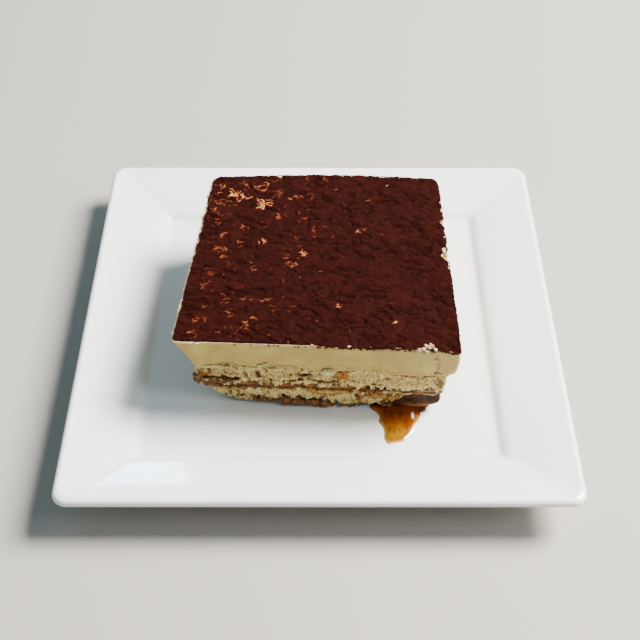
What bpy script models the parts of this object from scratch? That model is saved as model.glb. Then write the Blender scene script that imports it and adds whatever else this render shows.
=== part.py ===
"""A slice of tiramisu on its square white plate, with one solid for each layer.

Metres, +Z up. The origin is under the middle of the plate, on the surface that it stands on.
The cut side that shows the two sponge layers faces -Y.
"""

import math

import bmesh
import bpy
from mathutils import Vector, noise

# Gaps that touching pieces keep to each other, the second where their edges are uneven.
GAP = 0.0003
UNEVEN_GAP = 0.0005

# Plate: a square dish with a flat sloping rim, a sunken floor and a foot ring.
PLATE_SIDE = 0.210
PLATE_CORNER = 0.006
LIP_RADIUS = 0.0022
LIP_TOP_Z = 0.0205
SLOPE_FOOT_HALF = 0.0778
SLOPE_FOOT_Z = 0.0124
FLOOR_HALF = 0.0725
FLOOR_Z = 0.0096
WELL_CORNER = 0.0030
# Stations of the step from the rim's slope down to the floor: shares of its width and of its height.
WELL_STEP = ((1.0, 1.0), (0.72, 0.72), (0.45, 0.28), (0.18, 0.06), (0.0, 0.0))
LIP_STEPS = 6
FOOT_OUTER_HALF = 0.0640
FOOT_INNER_HALF = 0.0565
FOOT_HEIGHT = 0.0038
FOOT_CORNER = 0.0080
FOOT_EDGE = 0.0005
UNDERSIDE_HALF = 0.0790
UNDERSIDE_Z = 0.0080

# Heights of the slice's layers.
BASE_Z = FLOOR_Z + GAP
SEAM_BASE_Z = 0.0215
SEAM_TOP_Z = 0.0232
CREAM_BASE_Z = 0.0348
COCOA_BASE_Z = 0.0504
TOP_Z = 0.0515

# Corners of the slice's top, anticlockwise from the front left, with their radii at the top and at the base.
TOP_CORNERS = (
    Vector((-0.0598, -0.0474)),
    Vector((0.0570, -0.0528)),
    Vector((0.0550, 0.0570)),
    Vector((-0.0492, 0.0575)),
)
TOP_RADII = (0.0020, 0.0022, 0.0060, 0.0040)
BASE_RADII = (0.0150, 0.0050, 0.0090, 0.0110)

# How far each side has drawn in at a height: pairs of height and inset, from the base up.
LEFT_LEAN = (
    (FLOOR_Z, 0.0200), (0.0150, 0.0148), (0.0195, 0.0115), (SEAM_TOP_Z, 0.0080), (0.0270, 0.0073),
    (CREAM_BASE_Z, 0.0073), (0.0430, 0.0036), (0.0490, 0.0004), (TOP_Z, 0.0),
)
RIGHT_LEAN = (
    (FLOOR_Z, 0.0084), (0.0160, 0.0071), (SEAM_BASE_Z, 0.0061), (0.0300, 0.0052), (CREAM_BASE_Z, 0.0036),
    (0.0370, 0.0014), (0.0440, 0.0002), (TOP_Z, 0.0),
)
FRONT_LEAN = ((FLOOR_Z, 0.0038), (CREAM_BASE_Z, 0.0017), (TOP_Z, 0.0))
BACK_LEAN = ((FLOOR_Z, 0.0046), (CREAM_BASE_Z, 0.0022), (TOP_Z, 0.0))

# The back edge bows out, and bites are missing from the right edge: centre along Y, half length, depth.
BACK_BOW = 0.0026
EDGE_BITES = ((0.0036, 0.0046, 0.0028), (0.0258, 0.0030, 0.0016))
BITE_FOOT_Z = 0.0370

# The last ladyfinger of the lower layer lies along the right side, dark with coffee, its round end to the front.
FINGER_LEFT_X = 0.0294
FINGER_RIGHT_X = 0.0500
FINGER_FRONT_Y = -0.0500
FINGER_BACK_Y = 0.0520
FINGER_TURN_IN = ((FLOOR_Z, 0.0060), (0.0118, 0.0030), (0.0145, 0.0010), (0.0170, 0.0), (SEAM_BASE_Z, 0.0006))
FINGER_CORNERS = (0.0020, 0.0045, 0.0045, 0.0020)

# Points round each layer, on each side and on each corner.
SIDE_POINTS = 20
ARC_POINTS = 4
FINGER_SIDE_POINTS = 7

# Shares of a layer's height at which it has a ring of points, and how far the flat caps are drawn in.
LOWER_RINGS = (0.0, 0.14, 0.34, 0.56, 0.8, 1.0)
FINGER_RINGS = (0.0, 0.12, 0.3, 0.5, 0.75, 1.0)
SEAM_RINGS = (0.0, 0.5, 1.0)
UPPER_RINGS = (0.0, 0.16, 0.36, 0.58, 0.8, 1.0)
CREAM_RINGS = (0.0, 0.1, 0.26, 0.44, 0.64, 0.84, 1.0)
CAP_SHRINK = 0.88

# The cocoa's rings draw in towards the middle: their count, the last one's share, and how they bunch at the rim.
COCOA_RINGS = 12
COCOA_CENTRE = 0.05
COCOA_BUNCH = 0.8

# Depth and wavelength of the relief of each surface.
SPONGE_RAGGED = 0.0007
SPONGE_GRAIN = 0.0042
CREAM_RAGGED = 0.0003
CREAM_GRAIN = 0.0110
COCOA_RAGGED = 0.0004
COCOA_GRAIN = 0.0095
COCOA_STRETCH = 1.4

# Uneven heights of the layers' edges: depth, and the waves that go round the slice.
CREAM_WAVE = 0.0011
CREAM_WAVE_TURNS = 7
SEAM_WAVE = 0.0006
SEAM_WAVE_TURNS = 5

# Outline of the coffee syrup that has run out in front of the slice.
SYRUP_OUTLINE = (
    (0.0230, -0.0492), (0.0285, -0.0514), (0.0415, -0.0514), (0.0402, -0.0545), (0.0386, -0.0597),
    (0.0350, -0.0655), (0.0292, -0.0675), (0.0274, -0.0645), (0.0276, -0.0602), (0.0255, -0.0562),
    (0.0252, -0.0527),
)
SYRUP_THICKNESS = 0.0010
SYRUP_EDGE = 0.0003


def clear_scene():
    for old in list(bpy.data.objects):
        bpy.data.objects.remove(old, do_unlink=True)


def make_material(name, colour, roughness, metallic=0.0):
    material = bpy.data.materials.new(name)
    material.use_nodes = True
    shader = material.node_tree.nodes["Principled BSDF"]
    shader.inputs["Base Color"].default_value = (*colour, 1.0)
    shader.inputs["Roughness"].default_value = roughness
    shader.inputs["Metallic"].default_value = metallic
    material.diffuse_color = (*colour, 1.0)
    return material


def mix(a, b, t):
    return a + (b - a) * t


def along(pairs, height):
    """Value at a height in a rising list of (height, value) pairs."""
    if height <= pairs[0][0]:
        return pairs[0][1]
    for (low, low_value), (high, high_value) in zip(pairs, pairs[1:]):
        if height <= high:
            return mix(low_value, high_value, (height - low) / (high - low))
    return pairs[-1][1]


def rounded_outline(corners, radii, side_points, arc_points):
    """Points round a four-cornered outline, anticlockwise, with the same count on every outline."""
    arcs = []
    for index, (corner, radius) in enumerate(zip(corners, radii)):
        to_last = (corners[index - 1] - corner).normalized()
        to_next = (corners[(index + 1) % len(corners)] - corner).normalized()
        start = corner + to_last * radius
        end = corner + to_next * radius
        steps = [step / (arc_points - 1) for step in range(arc_points)]
        arcs.append([start * (1 - t) ** 2 + corner * 2 * t * (1 - t) + end * t ** 2 for t in steps])
    points = []
    for index, arc in enumerate(arcs):
        points.extend(arc)
        side_start = arc[-1]
        side_end = arcs[(index + 1) % len(arcs)][0]
        for step in range(1, side_points + 1):
            points.append(mix(side_start, side_end, step / (side_points + 1)))
    return points


def outward(points, index):
    """Outward direction in plan at one point of an anticlockwise outline."""
    across = points[(index + 1) % len(points)] - points[index - 1]
    return Vector((across.y, -across.x)).normalized()


def bite_depth(point, height):
    """How much of the right edge has torn away at a point."""
    if point.x < 0 or height < BITE_FOOT_Z:
        return 0.0
    fade = (height - BITE_FOOT_Z) / (TOP_Z - BITE_FOOT_Z)
    depth = 0.0
    for centre, reach, deep in EDGE_BITES:
        off = abs(point.y - centre) / reach
        if off < 1:
            depth += deep * fade * (1 + math.cos(math.pi * off)) / 2
    return depth


def slice_outline(height, right_x=None):
    """The slice's outline at a height. right_x cuts it off at the ladyfinger of the lower layer."""
    left = along(LEFT_LEAN, height)
    right = along(RIGHT_LEAN, height)
    front = along(FRONT_LEAN, height)
    back = along(BACK_LEAN, height)
    front_left, front_right, back_right, back_left = TOP_CORNERS
    corners = [
        front_left + Vector((left, front)),
        front_right + Vector((-right, front)),
        back_right + Vector((-right, -back)),
        back_left + Vector((left, -back)),
    ]
    share = min(max((height - FLOOR_Z) / (SEAM_TOP_Z - FLOOR_Z), 0.0), 1.0)
    radii = [mix(low, high, share) for low, high in zip(BASE_RADII, TOP_RADII)]
    if right_x is not None:
        cut = (right_x - corners[0].x) / (corners[1].x - corners[0].x)
        corners[1] = mix(corners[0], corners[1], cut)
        cut = (right_x - corners[3].x) / (corners[2].x - corners[3].x)
        corners[2] = mix(corners[3], corners[2], cut)
        radii[1] = radii[2] = TOP_RADII[0]
    points = rounded_outline(corners, radii, SIDE_POINTS, ARC_POINTS)
    half = (corners[2].x - corners[3].x) / 2
    middle = (corners[2].x + corners[3].x) / 2
    for point in points:
        if point.y > corners[2].y - TOP_RADII[0] and abs(point.x - middle) < half:
            point.y += BACK_BOW * math.cos(math.pi / 2 * (point.x - middle) / half)
        point.x -= bite_depth(point, height)
    return points


def roughened(points, height, depth, grain, keep_right=False):
    """Moves the points of an outline in and out by smooth noise."""
    moved = []
    limit = max(point.x for point in points)
    for index, point in enumerate(points):
        place = Vector((point.x, point.y, height)) / grain
        push = depth * (noise.noise(place) + 0.5 * noise.noise(place * 2.1))
        if keep_right and point.x > limit - TOP_RADII[0] - GAP:
            push = 0.0
        moved.append(point + outward(points, index) * push)
    return moved


def edge_wave(count, depth, turns):
    """Uneven height of a layer's edge, the same for the layer above and the one below."""
    waves = []
    for index in range(count):
        turn = 2 * math.pi * index / count
        long_wave = math.sin(turns * turn + 1.1)
        short_wave = math.sin((2 * turns + 3) * turn)
        waves.append(depth * (0.6 * long_wave + 0.4 * short_wave))
    return waves


def lift(points, heights):
    return [Vector((point.x, point.y, height)) for point, height in zip(points, heights)]


def shrink(points, factor, height):
    """A flat ring inside an outline."""
    centre = sum((point.to_2d() for point in points), Vector((0, 0))) / len(points)
    return [(centre + (point.to_2d() - centre) * factor).to_3d() + Vector((0, 0, height)) for point in points]


def loft(name, rings, material, smooth_angle):
    """One closed solid through rings of equal counts, with flat ends."""
    mesh_data = bmesh.new()
    loops = [[mesh_data.verts.new(point) for point in ring] for ring in rings]
    count = len(rings[0])
    for lower, upper in zip(loops, loops[1:]):
        for index in range(count):
            after = (index + 1) % count
            mesh_data.faces.new((lower[index], lower[after], upper[after]))
            mesh_data.faces.new((lower[index], upper[after], upper[index]))
    mesh_data.faces.new(list(reversed(loops[0])))
    mesh_data.faces.new(loops[-1])
    bmesh.ops.recalc_face_normals(mesh_data, faces=mesh_data.faces)
    mesh = bpy.data.meshes.new(name)
    mesh_data.to_mesh(mesh)
    mesh_data.free()
    mesh.shade_smooth()
    mesh.set_sharp_from_angle(angle=smooth_angle)
    mesh.materials.append(material)
    return bpy.data.objects.new(name, mesh)


def square_ring(half, corner, height):
    corners = [Vector((x * half, y * half)) for x, y in ((-1, -1), (1, -1), (1, 1), (-1, 1))]
    points = rounded_outline(corners, (corner,) * 4, 2, 6)
    return [Vector((point.x, point.y, height)) for point in points]


def make_plate(material):
    """Rings from the recess under the floor, out over the foot and the lip, and down to the floor."""
    half = PLATE_SIDE / 2
    rise = math.atan2(LIP_TOP_Z - SLOPE_FOOT_Z, half - LIP_RADIUS - SLOPE_FOOT_HALF)
    section = [
        (FOOT_INNER_HALF - FOOT_EDGE, FOOT_CORNER, FOOT_HEIGHT),
        (FOOT_INNER_HALF, FOOT_CORNER, FOOT_EDGE),
        (FOOT_INNER_HALF + FOOT_EDGE, FOOT_CORNER, 0.0),
        (FOOT_OUTER_HALF - FOOT_EDGE, FOOT_CORNER, 0.0),
        (FOOT_OUTER_HALF, FOOT_CORNER, FOOT_EDGE),
        (FOOT_OUTER_HALF + FOOT_EDGE, FOOT_CORNER, FOOT_HEIGHT),
        (UNDERSIDE_HALF, PLATE_CORNER, UNDERSIDE_Z),
    ]
    for step in range(LIP_STEPS + 1):
        angle = mix(rise - math.pi / 2, rise + math.pi / 2, step / LIP_STEPS)
        out = half - LIP_RADIUS + LIP_RADIUS * math.cos(angle)
        up = LIP_TOP_Z - LIP_RADIUS + LIP_RADIUS * math.sin(angle)
        section.append((out, PLATE_CORNER - (half - out) / 2, up))
    for share_out, share_up in WELL_STEP:
        out = mix(FLOOR_HALF, SLOPE_FOOT_HALF, share_out)
        section.append((out, WELL_CORNER, mix(FLOOR_Z, SLOPE_FOOT_Z, share_up)))
    rings = [square_ring(*station) for station in section]
    return loft("plate", rings, material, math.radians(50))


def make_layer(name, base_z, top_z, shares, finish, waves, material, right_x=None):
    """A layer of the slice: rings at shares of its height between two flat caps."""
    ragged, grain, tuck = finish
    base_wave, top_wave = waves
    rings = []
    for share in shares:
        height = mix(base_z, top_z, share)
        points = slice_outline(height, right_x)
        points = roughened(points, height, ragged, grain, right_x is not None)
        if tuck:
            points = [point - outward(points, index) * tuck for index, point in enumerate(points)]
        heights = [height + mix(low, high, share) for low, high in zip(base_wave, top_wave)]
        rings.append(lift(points, heights))
    rings.insert(0, shrink(rings[0], CAP_SHRINK, base_z))
    rings.append(shrink(rings[-1], CAP_SHRINK, top_z))
    return loft(name, rings, material, math.radians(40))


def make_soaked_finger(material):
    """The coffee-dark ladyfinger, a bar with a round front end and a rounded lower right edge."""
    rings = []
    top_z = SEAM_BASE_Z - GAP
    for share in FINGER_RINGS:
        height = mix(BASE_Z, top_z, share)
        turn_in = along(FINGER_TURN_IN, height)
        corners = [
            Vector((FINGER_LEFT_X, FINGER_FRONT_Y + turn_in / 3)),
            Vector((FINGER_RIGHT_X - turn_in, FINGER_FRONT_Y + turn_in / 3)),
            Vector((FINGER_RIGHT_X - turn_in - GAP, FINGER_BACK_Y - turn_in / 3)),
            Vector((FINGER_LEFT_X, FINGER_BACK_Y - turn_in / 3)),
        ]
        points = rounded_outline(corners, FINGER_CORNERS, FINGER_SIDE_POINTS, ARC_POINTS)
        rings.append(lift(points, [height] * len(points)))
    rings.insert(0, shrink(rings[0], CAP_SHRINK, BASE_Z))
    return loft("soaked_ladyfinger", rings, material, math.radians(50))


def make_cocoa(material):
    """The dusted top: a thin skin with a rippled upper face."""
    base_z = COCOA_BASE_Z + GAP
    under = slice_outline(base_z)
    upper = [point - outward(under, index) * GAP for index, point in enumerate(under)]
    rings = [lift(under, [base_z] * len(under))]
    middle = sum(upper, Vector((0, 0))) / len(upper)
    for step in range(COCOA_RINGS + 1):
        share = mix(1.0, COCOA_CENTRE, (step / COCOA_RINGS) ** COCOA_BUNCH)
        ring = []
        for point in upper:
            place = middle + (point - middle) * share
            ripple = noise.noise(Vector((place.x, place.y * COCOA_STRETCH, 0)) / COCOA_GRAIN)
            ring.append(Vector((place.x, place.y, TOP_Z + COCOA_RAGGED * ripple)))
        rings.append(ring)
    return loft("cocoa", rings, material, math.radians(60))


def make_syrup(material):
    """The thin tongue of syrup, a flat curve with a rounded edge, turned into a mesh."""
    curve = bpy.data.curves.new("coffee_syrup", "CURVE")
    curve.dimensions = "2D"
    curve.fill_mode = "BOTH"
    curve.resolution_u = 3
    curve.extrude = SYRUP_THICKNESS / 2 - SYRUP_EDGE
    curve.bevel_depth = SYRUP_EDGE
    curve.bevel_resolution = 0
    spline = curve.splines.new("BEZIER")
    spline.bezier_points.add(len(SYRUP_OUTLINE) - 1)
    for knot, (x, y) in zip(spline.bezier_points, SYRUP_OUTLINE):
        knot.co = (x, y, 0)
        knot.handle_left_type = "AUTO"
        knot.handle_right_type = "AUTO"
    spline.use_cyclic_u = True
    syrup = bpy.data.objects.new("coffee_syrup", curve)
    syrup.location.z = BASE_Z + SYRUP_THICKNESS / 2
    curve.materials.append(material)
    return syrup


def main():
    clear_scene()
    collection = bpy.data.collections.new("tiramisu slice")
    bpy.context.scene.collection.children.link(collection)
    porcelain = make_material("porcelain", (0.86, 0.87, 0.88), 0.12)
    sponge = make_material("sponge", (0.62, 0.52, 0.33), 0.85)
    soaked = make_material("coffee soaked sponge", (0.09, 0.045, 0.02), 0.35)
    cream = make_material("mascarpone cream", (0.80, 0.72, 0.50), 0.55)
    cocoa = make_material("cocoa", (0.085, 0.022, 0.014), 0.9)
    syrup = make_material("coffee syrup", (0.42, 0.16, 0.02), 0.08)

    count = 4 * (SIDE_POINTS + ARC_POINTS)
    level = [0.0] * count
    cream_wave = edge_wave(count, CREAM_WAVE, CREAM_WAVE_TURNS)
    seam_wave = edge_wave(count, SEAM_WAVE, SEAM_WAVE_TURNS)
    sponge_finish = (SPONGE_RAGGED, SPONGE_GRAIN, 0.0)
    seam_finish = (SPONGE_RAGGED, SPONGE_GRAIN, 2 * GAP)
    cream_finish = (CREAM_RAGGED, CREAM_GRAIN, 0.0)
    pieces = [
        make_plate(porcelain),
        make_layer(
            "lower_sponge", BASE_Z, SEAM_BASE_Z - GAP, LOWER_RINGS,
            sponge_finish, (level, level), sponge, FINGER_LEFT_X - GAP,
        ),
        make_soaked_finger(soaked),
        make_layer(
            "middle_seam", SEAM_BASE_Z, SEAM_TOP_Z, SEAM_RINGS,
            seam_finish, (level, seam_wave), soaked,
        ),
        make_layer(
            "upper_sponge", SEAM_TOP_Z + UNEVEN_GAP, CREAM_BASE_Z - UNEVEN_GAP, UPPER_RINGS,
            sponge_finish, (seam_wave, cream_wave), sponge,
        ),
        make_layer(
            "cream", CREAM_BASE_Z, COCOA_BASE_Z, CREAM_RINGS,
            cream_finish, (cream_wave, level), cream,
        ),
        make_cocoa(cocoa),
        make_syrup(syrup),
    ]
    for piece in pieces:
        collection.objects.link(piece)


main()
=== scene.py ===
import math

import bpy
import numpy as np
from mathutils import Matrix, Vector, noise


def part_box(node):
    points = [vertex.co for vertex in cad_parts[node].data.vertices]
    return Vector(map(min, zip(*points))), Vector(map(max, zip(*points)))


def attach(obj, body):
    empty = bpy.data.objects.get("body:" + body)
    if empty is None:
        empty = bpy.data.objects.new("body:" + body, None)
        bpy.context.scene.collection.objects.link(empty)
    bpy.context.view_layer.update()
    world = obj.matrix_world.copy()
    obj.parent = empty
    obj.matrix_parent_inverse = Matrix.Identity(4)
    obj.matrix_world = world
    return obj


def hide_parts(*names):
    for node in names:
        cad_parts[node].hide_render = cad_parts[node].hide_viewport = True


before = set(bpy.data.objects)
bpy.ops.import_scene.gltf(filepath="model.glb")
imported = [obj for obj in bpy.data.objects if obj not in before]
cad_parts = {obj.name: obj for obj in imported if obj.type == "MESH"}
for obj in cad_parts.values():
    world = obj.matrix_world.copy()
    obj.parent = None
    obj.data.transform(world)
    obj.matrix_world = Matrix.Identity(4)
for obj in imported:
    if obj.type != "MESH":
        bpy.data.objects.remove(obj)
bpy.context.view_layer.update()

# %% [markdown]
# # A slice of tiramisu on its plate
# The solids that come in are the plain forms of the plate, the layers of the slice, the dusted top and a
# tongue of syrup. They are right in size and place but have no crumb, no glaze and no dust. Each step
# below makes one of them again, finer, in the same place, and hides the plain one. Before that, the box
# of each plain part is printed.

MM = 0.001
for name in sorted(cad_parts):
    low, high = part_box(name)
    print(name, [round(1000 * value, 1) for value in (*low, *high)])

# %% [markdown]
# ## The camera
# The plate is square, so its four edges in a picture tell where the camera stood. It looks down at 45.5
# degrees from half a metre away. A camera object looks along its own -Z, with +Y up in the picture, so
# its matrix is made from three directions: right, up and back.

# %% Camera
PICTURE_WIDTH = 640
FOCAL_PIXELS = 1176.0
SENSOR_MM = 36.0
CAMERA_PLACE = Vector((-0.000227, -0.37404, 0.39568))
LOOK_DOWN = math.radians(45.52)
TURN = math.radians(0.080)
ROLL = math.radians(-0.096)

lens = bpy.data.cameras.new("view of the slice")
lens.sensor_width = SENSOR_MM
lens.lens = FOCAL_PIXELS / PICTURE_WIDTH * SENSOR_MM
camera = bpy.data.objects.new("camera", lens)
level = math.cos(LOOK_DOWN)
forward = Vector((math.sin(TURN) * level, math.cos(TURN) * level, -math.sin(LOOK_DOWN)))
level_right = Vector((math.cos(TURN), -math.sin(TURN), 0))
level_down = forward.cross(level_right)
right = level_right * math.cos(ROLL) + level_down * math.sin(ROLL)
down = level_down * math.cos(ROLL) - level_right * math.sin(ROLL)
camera.matrix_world = Matrix((right, -down, -forward)).transposed().to_4x4()
camera.location = CAMERA_PLACE
bpy.context.scene.collection.objects.link(camera)
bpy.context.scene.camera = camera
print("lens", round(lens.lens, 1), "mm")

# %% [markdown]
# ## Nodes without the mouse
# Materials and Geometry Nodes are both trees of nodes. A few small helpers keep the later cells short:
# one adds a node, sets its options and fills its inputs, and others do the same for sums, vectors and
# soft steps. An input is filled with a number or with another node's output.

# %% Helpers for node trees
def add(tree, kind, inputs=None, output=0, **options):
    """Adds a node and returns one of its outputs."""
    made = tree.nodes.new(kind)
    for option, value in options.items():
        setattr(made, option, value)
    for key, value in (inputs or {}).items():
        if isinstance(value, bpy.types.NodeSocket):
            tree.links.new(value, made.inputs[key])
        else:
            made.inputs[key].default_value = value
    return made.outputs[output]


def sum_of(tree, operation, a, b=0.0, c=0.0, clamp=False):
    """One sum of numbers, such as ADD or MULTIPLY."""
    return add(tree, "ShaderNodeMath", {0: a, 1: b, 2: c}, operation=operation, use_clamp=clamp)


def vector_of(tree, operation, a, b):
    """A sum of two vectors, or with SCALE of a vector and a number."""
    second = "Scale" if operation == "SCALE" else 1
    return add(tree, "ShaderNodeVectorMath", {0: a, second: b}, operation=operation)


def smooth_step(tree, value, start, end, low=0.0, high=1.0):
    """Rises smoothly from low to high while the value goes from start to end."""
    inputs = {"Value": value, "From Min": start, "From Max": end, "To Min": low, "To Max": high}
    return add(tree, "ShaderNodeMapRange", inputs, interpolation_type="SMOOTHSTEP")


def from_middle(tree, value):
    """A value between 0 and 1, moved so that its middle is 0."""
    return sum_of(tree, "SUBTRACT", value, 0.5)


# %% [markdown]
# ## Trees that shape a mesh
# A Geometry Nodes tree takes a mesh in and gives another one back. These helpers read what its points
# carry, make noise that follows the tree's own seed, and open and close a tree with named inputs. A
# modifier only runs it once: the result is kept as a plain mesh, and the modifier is taken off again.

# %% Helpers for Geometry Nodes
def stored(tree, name, kind="FLOAT"):
    """Reads an attribute of the points in a Geometry Nodes tree."""
    return add(tree, "GeometryNodeInputNamedAttribute", {"Name": name}, data_type=kind)


def in_millimetres(tree, stretch=(1.0, 1.0, 1.0)):
    """The place of each point in millimetres, stretched along the axes."""
    factors = tuple(1000.0 * value for value in stretch)
    return vector_of(tree, "MULTIPLY", add(tree, "GeometryNodeInputPosition"), factors)


def seeded_noise(tree, given, place, size, detail, shift=0.0, output=0, **more):
    """Noise with lumps of a size in millimetres, which changes with the tree's own seed."""
    seed = sum_of(tree, "ADD", given["Seed"], shift)
    scale = sum_of(tree, "DIVIDE", 1.0, size)
    inputs = {"Vector": place, "W": seed, "Scale": scale, "Detail": detail, **more}
    return add(tree, "ShaderNodeTexNoise", inputs, output, noise_dimensions="4D")


def astray(tree, colours, reach):
    """Turns noise colours into a vector that points anywhere, as long as the reach."""
    return vector_of(tree, "SCALE", vector_of(tree, "SUBTRACT", colours, (0.5, 0.5, 0.5)), reach)


def new_tree(name, inputs):
    """A Geometry Nodes tree with named inputs, each given by its socket type and value."""
    tree = bpy.data.node_groups.new(name, "GeometryNodeTree")
    tree.interface.new_socket("Geometry", in_out="INPUT", socket_type="NodeSocketGeometry")
    for label, (kind, value) in inputs.items():
        socket = tree.interface.new_socket(label, in_out="INPUT", socket_type="NodeSocket" + kind)
        if value is not None:
            socket.default_value = value
    tree.interface.new_socket("Geometry", in_out="OUTPUT", socket_type="NodeSocketGeometry")
    return tree, tree.nodes.new("NodeGroupInput").outputs


def finish_tree(tree, geometry, material):
    """Ends a tree: instances are made real, and the faces get their material."""
    real = add(tree, "GeometryNodeRealizeInstances", {"Geometry": geometry})
    done = add(tree, "GeometryNodeSetMaterial", {"Geometry": real, "Material": material})
    tree.links.new(done, tree.nodes.new("NodeGroupOutput").inputs[0])


def along_normal(tree, height):
    """An offset along the normal: the height in millimetres, times how loose each point is."""
    reach = sum_of(tree, "MULTIPLY", sum_of(tree, "MULTIPLY", height, stored(tree, "loose")), MM)
    return vector_of(tree, "SCALE", add(tree, "GeometryNodeInputNormal"), reach)


def finish_relief(tree, given, offset, label, value):
    """Stores one value for the material, moves the points and ends the tree."""
    marked = add(tree, "GeometryNodeStoreNamedAttribute", {
        "Geometry": given["Geometry"], "Name": label, "Value": value,
    }, data_type="FLOAT", domain="POINT")
    shaped = add(tree, "GeometryNodeSetPosition", {"Geometry": marked, "Offset": offset})
    finish_tree(tree, shaped, given["Material"])


def run_tree(piece, tree, values):
    """Runs a tree on a piece once and keeps the result as a plain mesh."""
    modifier = piece.modifiers.new(tree.name, "NODES")
    modifier.node_group = tree
    for item in tree.interface.items_tree:
        if item.in_out == "INPUT" and item.name in values:
            modifier[item.identifier] = values[item.name]
    graph = bpy.context.evaluated_depsgraph_get()
    shaped = piece.evaluated_get(graph)
    mesh = bpy.data.meshes.new_from_object(shaped, preserve_all_data_layers=True, depsgraph=graph)
    piece.modifiers.remove(modifier)
    piece.data = mesh
    mesh.name = piece.name
    print(piece.name, len(mesh.polygons), "faces")


# %% [markdown]
# ## From numbers to a mesh
# A mesh is a list of points and a list of faces. The layers are grids of points that close on themselves,
# so one helper makes the faces of a grid, one closes a ring of points with a fan of triangles, and
# another makes the object and stores values on its points. Such a value, an attribute, travels with the
# mesh: the node trees and the materials can read it by name.

# %% Helpers for meshes
def grid_faces(rows, columns, closed=False):
    """Faces between the rows of a grid whose points are stored row by row."""
    across = np.arange(columns if closed else columns - 1)
    after = (across + 1) % columns
    row = np.arange(rows - 1)[:, None] * columns
    faces = np.stack((row + across, row + after, row + columns + after, row + columns + across), axis=-1)
    return faces.reshape(-1, 4).tolist()


def fan(ring, centre, downwards):
    """Triangles between a ring of point numbers and one point in its middle."""
    pairs = zip(ring, np.roll(ring, -1))
    return [(int(b), int(a), centre) if downwards else (int(a), int(b), centre) for a, b in pairs]


def new_piece(name, points, faces, values=None, smooth=True):
    """A mesh object at the origin. values holds numbers or vectors for its points, by name."""
    mesh = bpy.data.meshes.new(name)
    mesh.from_pydata([tuple(point) for point in points], [], faces)
    for label, numbers in (values or {}).items():
        numbers = np.asarray(numbers, dtype=np.float32)
        if numbers.ndim == 2:
            mesh.attributes.new(label, "FLOAT_VECTOR", "POINT").data.foreach_set("vector", numbers.ravel())
        else:
            mesh.attributes.new(label, "FLOAT", "POINT").data.foreach_set("value", numbers)
    if smooth:
        mesh.shade_smooth()
    piece = bpy.data.objects.new(name, mesh)
    bpy.context.scene.collection.objects.link(piece)
    return piece


def noise_at(points, size, seed):
    """Smooth noise between about -1 and 1 at each point, with lumps of the given size."""
    shift = Vector((seed * 7.3, seed * 3.1, seed * 5.7))
    return np.array([noise.noise(Vector(point) / size + shift) for point in points])


def ease(values):
    """0 to 1 with a soft start and end."""
    held = np.clip(values, 0.0, 1.0)
    return held * held * (3 - 2 * held)


# %% [markdown]
# ## Materials: a few words on colour
# Each finish mixes two or more colours with noise, so that no face has one flat tone. The helpers below
# make a material with its one shader, mix colours, and read noise at a size in millimetres. Object
# coordinates are in metres here, because every piece sits at the origin at full size. The small things
# scattered on the slice share one more helper, which mixes two colours over a fine relief.

# %% Helpers for materials
def new_material(name, roughness, **sockets):
    """A material with its shader, and the constants that go straight onto the shader's sockets."""
    material = bpy.data.materials.new(name)
    material.use_nodes = True
    tree = material.node_tree
    shader = tree.nodes["Principled BSDF"]
    if roughness is not None:
        shader.inputs["Roughness"].default_value = roughness
    for label, value in sockets.items():
        shader.inputs[label.replace("_", " ").title().replace("Ior", "IOR")].default_value = value
    return material, tree, shader


def object_place(tree, stretch=(1.0, 1.0, 1.0)):
    """The place of each spot in the piece's own coordinates, stretched along the axes."""
    place = add(tree, "ShaderNodeTexCoord", output="Object")
    return add(tree, "ShaderNodeMapping", {"Vector": place, "Scale": stretch})


def grain(tree, place, size_mm, detail=2.0, roughness=0.5, distortion=0.0):
    """Noise with lumps of a size in millimetres."""
    inputs = {"Vector": place, "Scale": 1000.0 / size_mm, "Detail": detail, "Roughness": roughness}
    return add(tree, "ShaderNodeTexNoise", {**inputs, "Distortion": distortion})


def blend(tree, share, low, high):
    """Mixes two colours, each given as a colour or as an output."""
    full = [(*colour, 1.0) if isinstance(colour, tuple) else colour for colour in (low, high)]
    inputs = {0: share, 6: full[0], 7: full[1]}
    return add(tree, "ShaderNodeMix", inputs, output=2, data_type="RGBA")


def value_of(tree, name):
    """Reads a value that the points of the mesh carry."""
    return add(tree, "ShaderNodeAttribute", output="Fac", attribute_name=name)


def bumped(tree, shader, height, depth_mm, strength):
    """Fine relief on the shader's normal. The height runs from 0 to 1 over the depth."""
    inputs = {"Height": height, "Distance": depth_mm * MM, "Strength": strength}
    tree.links.new(add(tree, "ShaderNodeBump", inputs), shader.inputs["Normal"])


def mottled_material(name, roughness, tone, low, high, relief, **sockets):
    """Two colours over a fine relief. tone is size, detail and range; relief is noise, depth and strength."""
    material, tree, shader = new_material(name, roughness, **sockets)
    place = object_place(tree)
    size, detail, start, end = tone
    share = smooth_step(tree, grain(tree, place, size, detail), start, end)
    tree.links.new(blend(tree, share, low, high), shader.inputs["Base Color"])
    fine, depth, strength = relief
    bumped(tree, shader, grain(tree, place, *fine), depth, strength)
    return material


# %% [markdown]
# ## Porcelain
# Hard white porcelain has a thin clear glaze. The body scatters light, and the glaze reflects it sharply,
# with a faint waviness that shows only in the reflections. A coat on the shader is the glaze, and a very
# low, wide bump is the waviness.

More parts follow.
